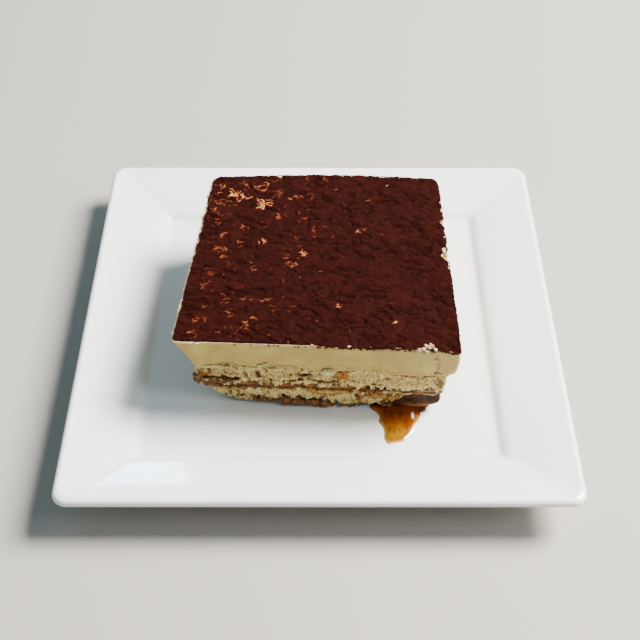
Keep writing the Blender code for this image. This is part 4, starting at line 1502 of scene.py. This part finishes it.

# %% [markdown]
# ## The colours of the cocoa
# Damp cocoa is a very dark red-brown, painted darker in the creases as painted shade. Where the strokes
# say that the cover is thin, it turns rust and then the colour of the cream, and noise frays that border.
# The hem is painted a little lighter, as painted light on faces that get little of it.

# %% Colours of the cocoa
def make_cocoa_material():
    material, tree, shader = new_material(
        "cocoa powder", 0.75, specular_ior_level=0.012, sheen_weight=0.03, sheen_roughness=0.45,
    )
    shader.inputs["Sheen Tint"].default_value = (0.9, 0.30, 0.20, 1.0)
    place = object_place(tree)
    tone = smooth_step(tree, grain(tree, place, 4.5, 4.0, 0.6), 0.3, 0.7)
    powder = blend(tree, tone, (0.0115, 0.0019, 0.0013), (0.0180, 0.0031, 0.0021))
    # Painted shade: the creases of the relief are painted darker.
    crease = smooth_step(tree, value_of(tree, "crease"), 0.25, 1.0, 0.0, 0.6)
    shaded_creases = blend(tree, crease, powder, (0.0055, 0.0008, 0.0006))
    torn = from_middle(tree, grain(tree, place, 0.8, 3.0, 0.6))
    bare = sum_of(tree, "MULTIPLY_ADD", torn, 0.7, value_of(tree, "bare"))
    rust = blend(tree, smooth_step(tree, bare, 0.16, 0.50), shaded_creases, (0.105, 0.021, 0.0080))
    cream_shows = blend(tree, smooth_step(tree, bare, 0.50, 1.05), rust, (0.43, 0.215, 0.070))
    # Painted light: the hanging skirt is painted lighter, because little light reaches its faces.
    hem = blend(tree, value_of(tree, "skirt_lightened"), cream_shows, (0.050, 0.0095, 0.0055))
    tree.links.new(hem, shader.inputs["Base Color"])
    bumped(tree, shader, grain(tree, place, 0.35, 3.0, 0.7), 0.10, 0.9)
    return material


run_tree(cocoa, velvet, {"Seed": 4.0, "Material": make_cocoa_material()})
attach(cocoa, "root")
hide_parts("cocoa")

# %% [markdown]
# ## The syrup
# Coffee syrup has run out from under the soaked finger and stands on the plate as a tongue. It is deep
# red-brown where it leaves the slice, amber in the middle and pale gold at the tip, and along its right
# edge only a clear film is left. Its surface bulges and meets the plate in a round edge. Rings that
# shrink towards the middle of the outline make it, each a little higher than the last.

# %% Syrup
SYRUP_OUTLINE = (
    (21.8, -46.6), (22.2, -48.4), (24.4, -50.4), (25.7, -52.6), (25.2, -55.4), (26.9, -58.6),
    (27.4, -61.6), (27.2, -64.2), (28.6, -67.2), (31.5, -66.9), (35.8, -65.6), (39.2, -61.8),
    (41.0, -58.0), (42.2, -54.2), (43.0, -51.8), (44.4, -50.2), (46.0, -48.8), (47.0, -46.4),
    (45.6, -43.8), (36.0, -43.4), (26.0, -44.0),
)
SYRUP_SPINE = ((-63.0, 31.5), (-58.0, 32.0), (-52.0, 33.0), (-47.0, 33.5))  # y and x
FILM_EDGE = (  # y and x
    (-66, 34.6), (-61.8, 37.4), (-57, 39.8), (-54.5, 42.6), (-52, 43.5), (-48, 49.0),
)
# A painted highlight: an oval of the syrup painted near white, carried by the film value.
PAINTED_GLINT = (39.7, -52.6, 0.38, 1.25)  # x, y and two half sizes
SYRUP_HEIGHT = 1.15
SYRUP_RINGS = 22
SYRUP_COUNT = 220
SYRUP_BASE = FLOOR_Z - 0.02


def closed_curve(knots, count):
    """Even points on a smooth closed curve through the knots."""
    knots = np.array(knots, dtype=float)
    line = []
    for index in range(len(knots)):
        p0, p1, p2, p3 = (knots[(index + step) % len(knots)] for step in (-1, 0, 1, 2))
        for t in np.linspace(0.0, 1.0, 12, endpoint=False):
            line.append(0.5 * (2 * p1 + (p2 - p0) * t + (2 * p0 - 5 * p1 + 4 * p2 - p3) * t ** 2
                               + (3 * p1 - p0 - 3 * p2 + p3) * t ** 3))
    line.append(line[0])
    return even(np.array(line), count + 1)[:-1]


def make_syrup():
    outline = closed_curve(SYRUP_OUTLINE, SYRUP_COUNT)
    heart_y = np.clip(outline[:, 1], SYRUP_SPINE[0][0], -47.5)
    heart = np.column_stack((along(SYRUP_SPINE, heart_y), heart_y))
    rings, rims = [], []
    for step in range(SYRUP_RINGS + 1):
        share = 1 - (step / SYRUP_RINGS) ** 1.4
        plan = heart + (outline - heart) * share
        rise = SYRUP_HEIGHT * (1 - share ** 2.6) ** 0.55
        rings.append(np.column_stack((plan, np.full(len(plan), SYRUP_BASE + rise))))
        rims.append(np.full(len(plan), share))
    points = np.vstack(rings)
    points[:, 2] += 0.10 * noise_at(points, 4.0, 61.0) * np.clip((points[:, 2] - FLOOR_Z) / 0.4, 0, 1)
    faces = grid_faces(len(rings), SYRUP_COUNT, closed=True) + fan(np.arange(SYRUP_COUNT), len(points), True)
    points = np.vstack((points, [[*outline.mean(axis=0), SYRUP_BASE]]))
    x, y = points[:, 0], points[:, 1]
    film = ease((x - along(FILM_EDGE, y)) / 1.2) * (y < -51.5)
    painted_glint = ease(1.9 - np.hypot((x - PAINTED_GLINT[0]) / PAINTED_GLINT[2], (y - PAINTED_GLINT[1]) / PAINTED_GLINT[3]))
    # Painted shade: where the tongue runs in under the finger it is marked to be painted dark brown.
    shaded_branch = ease((x - 41.0) / 2.0) * ease((y + 52.5) / 2.0)
    return new_piece("coffee_syrup_tongue", points * MM, faces, {
        "rim": np.append(np.concatenate(rims), 1.0) * (1 - shaded_branch), "shaded_branch": shaded_branch,
        "pale": ease((-47.0 - y) / 19.0), "film": np.maximum(film, painted_glint),
    })


syrup = make_syrup()
print("syrup", len(syrup.data.polygons), "faces")

# %% [markdown]
# ## The colours of the syrup
# The shade follows how far down the tongue a point lies, its edge is thinner and paler, and darker runs
# and a few specks of coffee lie in it. The smooth coat gives the wet shine. The near-white film along the
# right edge also carries a painted highlight, an oval glint, and where the tongue runs in under the finger
# it is painted dark brown as painted shade.

# %% Colours of the syrup
def make_syrup_material():
    material, tree, shader = new_material(
        "coffee syrup", 0.12, specular_ior_level=0.4, coat_weight=0.5, coat_roughness=0.03,
    )
    place = object_place(tree)
    mottle = grain(tree, place, 2.2, 5.0, 0.65)
    length = sum_of(tree, "MULTIPLY_ADD", from_middle(tree, mottle), 1.3, value_of(tree, "pale"))
    first = smooth_step(tree, length, 0.0, 0.30)
    first = blend(tree, first, (0.260, 0.034, 0.0004), (0.160, 0.030, 0.0005))
    second = blend(tree, smooth_step(tree, length, 0.40, 1.0), first, (0.21, 0.090, 0.0012))
    flow = object_place(tree, (1.0, 0.35, 1.0))
    run = smooth_step(tree, grain(tree, flow, 2.0, 3.0, 0.6, 0.6), 0.50, 0.64, 0.0, 0.7)
    second = blend(tree, run, second, (0.085, 0.019, 0.0004))
    edge = smooth_step(tree, value_of(tree, "rim"), 0.72, 0.98, 0.0, 0.9)
    edge = sum_of(tree, "MULTIPLY", edge, smooth_step(tree, value_of(tree, "pale"), 0.1, 0.7, 0.25, 1.0))
    thinned = blend(tree, edge, second, (0.46, 0.31, 0.075))
    # The film is the clear edge with the white plate under it, and it also carries the painted glint.
    film = blend(tree, value_of(tree, "film"), thinned, (0.80, 0.74, 0.62))
    # Painted shade under the finger's edge.
    shaded = blend(tree, value_of(tree, "shaded_branch"), film, (0.085, 0.032, 0.010))
    speck = smooth_step(tree, grain(tree, place, 1.0, 2.0), 0.665, 0.72)
    tree.links.new(blend(tree, speck, shaded, (0.035, 0.009, 0.002)), shader.inputs["Base Color"])
    bumped(tree, shader, mottle, 0.08, 0.5)
    return material


syrup.data.materials.append(make_syrup_material())
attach(syrup, "root")
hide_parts("coffee_syrup")

# %% [markdown]
# ## Small lumps and crumbs
# Cutting tears off small bits: crumbs of sponge along the foot of the slice, crumbly cream on the front
# edge near the right corner, blobs of cream pressed out between the layers, and grains of cocoa that fell
# onto the cream. A Geometry Nodes tree puts a small ball on each given point, turns it at random, makes
# the balls real and dents them with noise, so that no two are alike. The points carry their own sizes.

# %% Tree of the bits
def bits_tree():
    tree, given = new_tree("bits", {
        "Roundness": ("Int", 2), "Dent Size": ("Float", 0.8), "Dent Depth": ("Float", 0.5),
        "Tumble": ("Float", 1.0), "Seed": ("Int", 1), "Material": ("Material", None),
    })
    ball = add(tree, "GeometryNodeMeshIcoSphere", {"Radius": 1.0, "Subdivisions": given["Roundness"]})
    shape = stored(tree, "shape", "FLOAT_VECTOR")
    angles = {0: (-0.6, -0.6, 0.0), 1: (0.6, 0.6, 6.28), "Seed": given["Seed"]}
    turn = add(tree, "FunctionNodeRandomValue", angles, data_type="FLOAT_VECTOR")
    turn = vector_of(tree, "SCALE", turn, given["Tumble"])
    placed = add(tree, "GeometryNodeInstanceOnPoints", {
        "Points": given["Geometry"], "Instance": ball, "Rotation": turn, "Scale": shape,
    })
    real = add(tree, "GeometryNodeRealizeInstances", {"Geometry": placed})
    scale = sum_of(tree, "DIVIDE", 1.0, given["Dent Size"])
    lump = {"Vector": in_millimetres(tree), "Scale": scale, "Detail": 2.0}
    lump = add(tree, "ShaderNodeTexNoise", lump, output=1)
    push = astray(tree, lump, sum_of(tree, "MULTIPLY", given["Dent Depth"], 2 * MM))
    dented = add(tree, "GeometryNodeSetPosition", {"Geometry": real, "Offset": push})
    smooth = add(tree, "GeometryNodeSetShadeSmooth", {"Geometry": dented, "Shade Smooth": True})
    finish_tree(tree, smooth, given["Material"])
    return tree


bits = bits_tree()


def make_bits(name, spots_at, shapes, values):
    """Small lumps at the given places, each with its own half sizes, in millimetres."""
    piece = new_piece(name, np.array(spots_at) * MM, [], {"shape": np.array(shapes) * MM}, smooth=False)
    run_tree(piece, bits, values)
    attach(piece, "root")


def front_y(x, z):
    """Where the front of the slice lies at a place."""
    corners = four_corners(z)[0]
    share = (x - corners[0, 0]) / (corners[1, 0] - corners[0, 0])
    return corners[0, 1] + (corners[1, 1] - corners[0, 1]) * share


# %% [markdown]
# ## Blobs of cream
# Where the knife pressed on the layers, soft cream came out between them. These few blobs are large
# enough to be placed one by one. Each is a ball, stretched along the cut and dented.

# %% Blobs of cream
BLOBS = (  # x, z on the front, how far out, and three half sizes
    (3.6, 34.0, 0.5, 3.0, 1.2, 2.1), (-44.0, 34.7, 0.1, 4.2, 0.6, 0.8), (-40.0, 34.0, 0.1, 3.0, 0.5, 0.6),
    (-24.6, 36.2, 0.3, 1.4, 0.7, 1.0), (-22.4, 37.6, 0.2, 1.0, 0.6, 0.7),
    (-18.6, 34.6, 0.4, 1.1, 0.7, 0.8), (-47.4, 25.7, 0.5, 0.8, 0.7, 0.7),
    (27.4, 22.0, 0.6, 1.4, 0.6, 0.7), (31.5, 21.9, 0.4, 3.0, 0.5, 0.35),
    (36.5, 21.2, 0.4, 3.0, 0.5, 0.35), (46.5, 21.2, 0.2, 3.2, 0.5, 0.35),
    (19.4, 17.6, 0.4, 0.9, 0.6, 0.6), (15.0, 21.8, 0.3, 0.8, 0.5, 0.4), (18.2, 20.5, 0.5, 0.7, 0.5, 0.5),
)
CARAMEL_LENS = ((3.4, 19.9, 0.0, 5.0, 0.8, 1.1), (9.4, 20.4, 0.0, 2.4, 0.6, 0.6))
EDGE_LUMPS = (  # x, y, z and three half sizes
    (54.4, -50.0, 35.2, 1.9, 1.2, 0.9), (52.4, -50.0, 34.0, 1.6, 1.0, 0.8),
    (55.8, -49.6, 36.6, 1.1, 1.0, 0.9), (50.4, -50.2, 33.4, 1.0, 0.8, 0.6),
    (56.2, -48.6, 38.2, 0.8, 0.9, 0.8), (40.2, -52.0, 50.5, 1.2, 0.9, 0.8),
    (41.8, -52.0, 51.1, 1.0, 0.9, 0.8), (42.6, -51.0, 51.9, 0.8, 0.7, 0.7),
    (43.9, -51.4, 51.5, 1.2, 1.0, 0.8), (45.4, -51.2, 51.7, 0.9, 0.9, 0.7),
    (44.6, -50.2, 52.0, 0.6, 0.6, 0.5), (46.4, -52.3, 51.0, 0.9, 0.7, 0.7),
    (38.6, -52.2, 50.6, 0.7, 0.5, 0.4), (43.0, -52.9, 50.0, 1.2, 0.7, 1.0),
    (54.2, 7.0, 51.0, 0.9, 1.6, 0.7), (55.0, 4.6, 50.5, 0.8, 1.0, 0.8), (55.6, -4.0, 50.8, 0.5, 0.8, 0.5),
    (12.0, -51.0, 51.5, 0.8, 0.4, 0.3), (-3.0, -50.2, 51.5, 0.6, 0.4, 0.3),
)


def make_blob_material(name, low, high):
    return mottled_material(
        name, 0.5, (1.6, 3.0, 0.35, 0.65), low, high, ((0.5, 3.0), 0.10, 0.8),
        specular_ior_level=0.25, subsurface_weight=0.15, subsurface_scale=0.001,
    )


whipped = make_blob_material("whipped cream", (0.34, 0.265, 0.100), (0.50, 0.405, 0.185))
caramel = make_blob_material("cream tinted with coffee", (0.24, 0.125, 0.028), (0.42, 0.265, 0.085))
dusted = mottled_material(
    "cream dusted with cocoa", 0.6, (1.3, 3.0, 0.36, 0.60), (0.22, 0.115, 0.050), (0.54, 0.375, 0.205),
    ((0.5, 3.0), 0.12, 0.8), specular_ior_level=0.25,
)
for name, blobs, material in (("cream_blobs", BLOBS, whipped), ("caramel_lens", CARAMEL_LENS, caramel)):
    places = [(x, front_y(x, z) - out, z) for x, z, out, *sizes in blobs]
    make_bits(name, places, [row[3:] for row in blobs], {
        "Roundness": 4, "Dent Size": 1.4, "Dent Depth": 0.35, "Tumble": 0.0, "Seed": 2, "Material": material,
    })
make_bits("cream_lumps", [row[:3] for row in EDGE_LUMPS], [row[3:] for row in EDGE_LUMPS], {
    "Roundness": 4, "Dent Size": 1.1, "Dent Depth": 0.45, "Tumble": 0.0, "Seed": 3, "Material": dusted,
})

# %% [markdown]
# ## Grains of cocoa
# The knife pulled a little cocoa over the front edge. The damp grains lie just below the dust, more of
# them towards the right corner. They are painted lighter than the dust on top, as painted light, since
# their front faces get little of it. Their places are drawn from a fixed seed, so each run gives the same
# ones.

# %% Grains of cocoa on the front edge
GRAIN_COUNT = 85
GRAIN_SEED = 31


def cocoa_grains():
    """Cocoa that the knife pulled over the edge, thicker towards the right."""
    picker = np.random.default_rng(GRAIN_SEED)
    places, sizes = [], []
    for number in range(GRAIN_COUNT):
        x = 54.0 - 46.0 * picker.random() - 60.0 * picker.random() ** 6
        z = 50.5 - picker.exponential(0.30) - droop(np.array([[x, front_y(x, 50.0)]]))[0]
        size = picker.uniform(0.20, 0.62)
        places.append((x, front_y(x, z) - 0.25, z))
        sizes.append((size * picker.uniform(0.8, 1.6), size * 0.8, size))
    return places, sizes


places, shapes = cocoa_grains()
# The grains' cocoa is painted lighter than the dust on top, as painted light for faces that get little of it.
make_bits("cocoa_grains", places, shapes, {
    "Roundness": 2, "Dent Size": 0.5, "Dent Depth": 0.15, "Seed": 9, "Material": mottled_material(
        "damp cocoa painted lighter", 0.6, (1.1, 3.0, 0.38, 0.62), (0.040, 0.0085, 0.0050), (0.085, 0.0190, 0.0105),
        ((0.3, 3.0), 0.12, 0.8), specular_ior_level=0.1,
    ),
})

# %% [markdown]
# ## Brown crust
# The outside of a ladyfinger is baked brown. It shows in rough lumps under the lower layer and at the
# left end of the upper one, so the lumps are strewn in short runs along the front.

# %% Brown crust on the sponge
CRUST_RUNS = (  # from x, to x, height, spread of the height, number, largest half size
    (-28.0, -16.0, 12.3, 0.6, 40, 0.85), (-16.5, 4.5, 11.4, 1.3, 90, 1.45),
    (-16.0, 3.5, 12.8, 0.5, 46, 1.1), (-52.6, -49.4, 27.0, 2.3, 60, 1.0), (5.0, 19.0, 11.0, 0.5, 16, 0.8),
    (20.0, 27.0, 22.2, 0.7, 20, 0.9), (26.4, 31.0, 13.2, 1.3, 26, 0.95),
)
CRUST_SEED = 37


def crust_lumps():
    """Rough lumps of baked crust, strewn along the runs."""
    picker = np.random.default_rng(CRUST_SEED)
    places, sizes = [], []
    for first, last, height, spread, number, largest in CRUST_RUNS:
        for order in range(number):
            x = first + (last - first) * picker.random()
            z = height + spread * picker.normal() * 0.6
            size = largest * picker.uniform(0.4, 1.0)
            places.append((x, front_y(x, z) - 0.35 * size, max(z, FLOOR_Z + 0.7 * size)))
            sizes.append((size * picker.uniform(0.8, 1.3), size, size * picker.uniform(0.6, 1.0)))
    return places, sizes


places, shapes = crust_lumps()
make_bits("crust_lumps", places, shapes, {
    "Roundness": 2, "Dent Size": 0.6, "Dent Depth": 0.45, "Seed": 13, "Material": mottled_material(
        "browned crust", 0.6, (1.7, 3.0, 0.34, 0.66), (0.055, 0.017, 0.006), (0.24, 0.092, 0.020),
        ((0.5, 4.0, 0.7), 0.30, 1.0), specular_ior_level=0.25,
    ),
})

# %% [markdown]
# ## Wet crumb
# Over the left part of the soaked finger lies crumb of its neighbour, wet and amber. It thins out to the
# right and downwards, so places below a slanting line are left out.

# %% Wet crumb over the soaked finger
WET_CRUMB_COUNT = 150
WET_CRUMB_SEED = 43
WET_CRUMB_X = (21.0, 39.0)
WET_CRUMB_Z = (14.0, 21.2)


def wet_crumb():
    """Crumb that has smeared over the soaked finger, thinner to the right and lower down."""
    picker = np.random.default_rng(WET_CRUMB_SEED)
    places, sizes = [], []
    while len(places) < WET_CRUMB_COUNT:
        x, z = picker.uniform(*WET_CRUMB_X), picker.uniform(*WET_CRUMB_Z)
        if z < 14.4 + (x - 27.4) * 0.56 or (x < 27.0 and z < 16.5):
            continue
        size = picker.uniform(0.35, 0.85)
        front = min(front_y(x, z), -49.4) if x > 29.0 else front_y(x, z)
        places.append((x, front + 0.3 * size, z))
        sizes.append((size * picker.uniform(0.8, 1.4), size * 0.8, size * picker.uniform(0.7, 1.0)))
    return places, sizes


def make_wet_crumb_material():
    material, tree, shader = new_material("crumb wet with coffee", 0.45, specular_ior_level=0.2)
    place = object_place(tree)
    tone = smooth_step(tree, grain(tree, place, 2.6, 3.0), 0.36, 0.64)
    amber = blend(tree, tone, (0.17, 0.060, 0.010), (0.44, 0.230, 0.045))
    pale = smooth_step(tree, grain(tree, place, 1.9, 2.0), 0.56, 0.68)
    tree.links.new(blend(tree, pale, amber, (0.55, 0.40, 0.16)), shader.inputs["Base Color"])
    bumped(tree, shader, grain(tree, place, 0.4, 3.0), 0.15, 0.9)
    return material


places, shapes = wet_crumb()
make_bits("wet_crumb", places, shapes, {
    "Roundness": 2, "Dent Size": 0.7, "Dent Depth": 0.40, "Seed": 17, "Material": make_wet_crumb_material(),
})

# %% [markdown]
# ## Crumbs along the foot
# A few toasted crumbs lie on the plate close to the slice, most of them small. On the front they are
# tucked under its edge.

# %% Crumbs along the foot
CRUMB_COUNT = 90
CRUMB_SEED = 11


def crumb_places():
    """Crumbs lie on the plate close to the slice, most of them small."""
    picker = np.random.default_rng(CRUMB_SEED)
    ring = slice_ring(BASE_Z, 400)
    normal = outward_of(ring)
    places, sizes = [], []
    for pick in picker.choice(len(ring), CRUMB_COUNT, replace=False):
        out = picker.exponential(0.7) - 0.9
        size = 0.22 + 0.75 * picker.random() ** 3
        x, y = ring[pick] + normal[pick] * out
        if y < -42 and (x > 20 or out > -0.5):
            continue
        places.append((x, y, FLOOR_Z + 0.6 * size))
        sizes.append((size, size * picker.uniform(0.7, 1.1), size * 0.75))
    return places, sizes


places, shapes = crumb_places()
make_bits("fallen_crumbs", places, shapes, {
    "Roundness": 2, "Dent Size": 0.5, "Dent Depth": 0.22, "Seed": 5, "Material": mottled_material(
        "toasted crumbs", 0.8, (3.0, 2.0, 0.38, 0.62), (0.20, 0.085, 0.026), (0.60, 0.44, 0.22),
        ((0.3, 3.0), 0.15, 0.9), specular_ior_level=0.3,
    ),
})

# %% [markdown]
# ## Floor
# The floor is plain, pale and slightly warm, and wide enough to fill the picture.

# %% Floor
FLOOR_REACH = 20.0


def make_floor():
    corners = [(x * FLOOR_REACH, y * FLOOR_REACH, 0) for x, y in ((-1, -1), (1, -1), (1, 1), (-1, 1))]
    floor = new_piece("floor", corners, [(0, 1, 2, 3)])
    material, tree, shader = new_material("pale floor", 0.7)
    tone = grain(tree, object_place(tree), 300.0, 2.0)
    tree.links.new(blend(tree, tone, (0.33, 0.305, 0.272), (0.36, 0.334, 0.300)), shader.inputs["Base Color"])
    floor.data.materials.append(material)
    return floor


make_floor()

# %% [markdown]
# ## Light
# The light is soft: one large lamp stands behind and to the right, so that the shadow falls to the front
# left as it does by a window. A small weak one at the right lights the cut front a little, and a faint
# blue one far behind is there for its reflection in the glaze of the rim. The surroundings fill the
# shadows with a faintly blue light.

# %% Light
LAMPS = (  # name, place in metres, size across and up, power in watts, colour
    ("window", (0.88, 0.27, 1.05), 0.60, 0.60, 122.0, (1.0, 0.975, 0.94)),
    ("side", (0.52, -0.24, 0.42), 0.20, 0.20, 1.5, (1.0, 0.98, 0.94)),
    ("far window", (-0.352, 1.50, 0.515), 0.24, 0.20, 6.0, (0.45, 0.72, 1.0)),
)
SURROUNDINGS = (0.66, 0.90, 1.0)
SURROUNDINGS_STRENGTH = 0.36


def add_lamp(name, place, across, up, power, colour):
    """A rectangular lamp that faces the middle of the plate."""
    light = bpy.data.lights.new(name, "AREA")
    light.shape = "RECTANGLE"
    light.size, light.size_y = across, up
    light.energy = power
    light.color = colour
    lamp = bpy.data.objects.new(name, light)
    lamp.location = place
    lamp.rotation_euler = (-Vector(place)).to_track_quat("-Z", "Y").to_euler()
    bpy.context.scene.collection.objects.link(lamp)


for lamp in LAMPS:
    add_lamp(*lamp)
world = bpy.data.worlds.new("studio")
world.use_nodes = True
background = world.node_tree.nodes["Background"]
background.inputs["Color"].default_value = (*SURROUNDINGS, 1.0)
background.inputs["Strength"].default_value = SURROUNDINGS_STRENGTH
bpy.context.scene.world = world
print(len(LAMPS), "lamps")
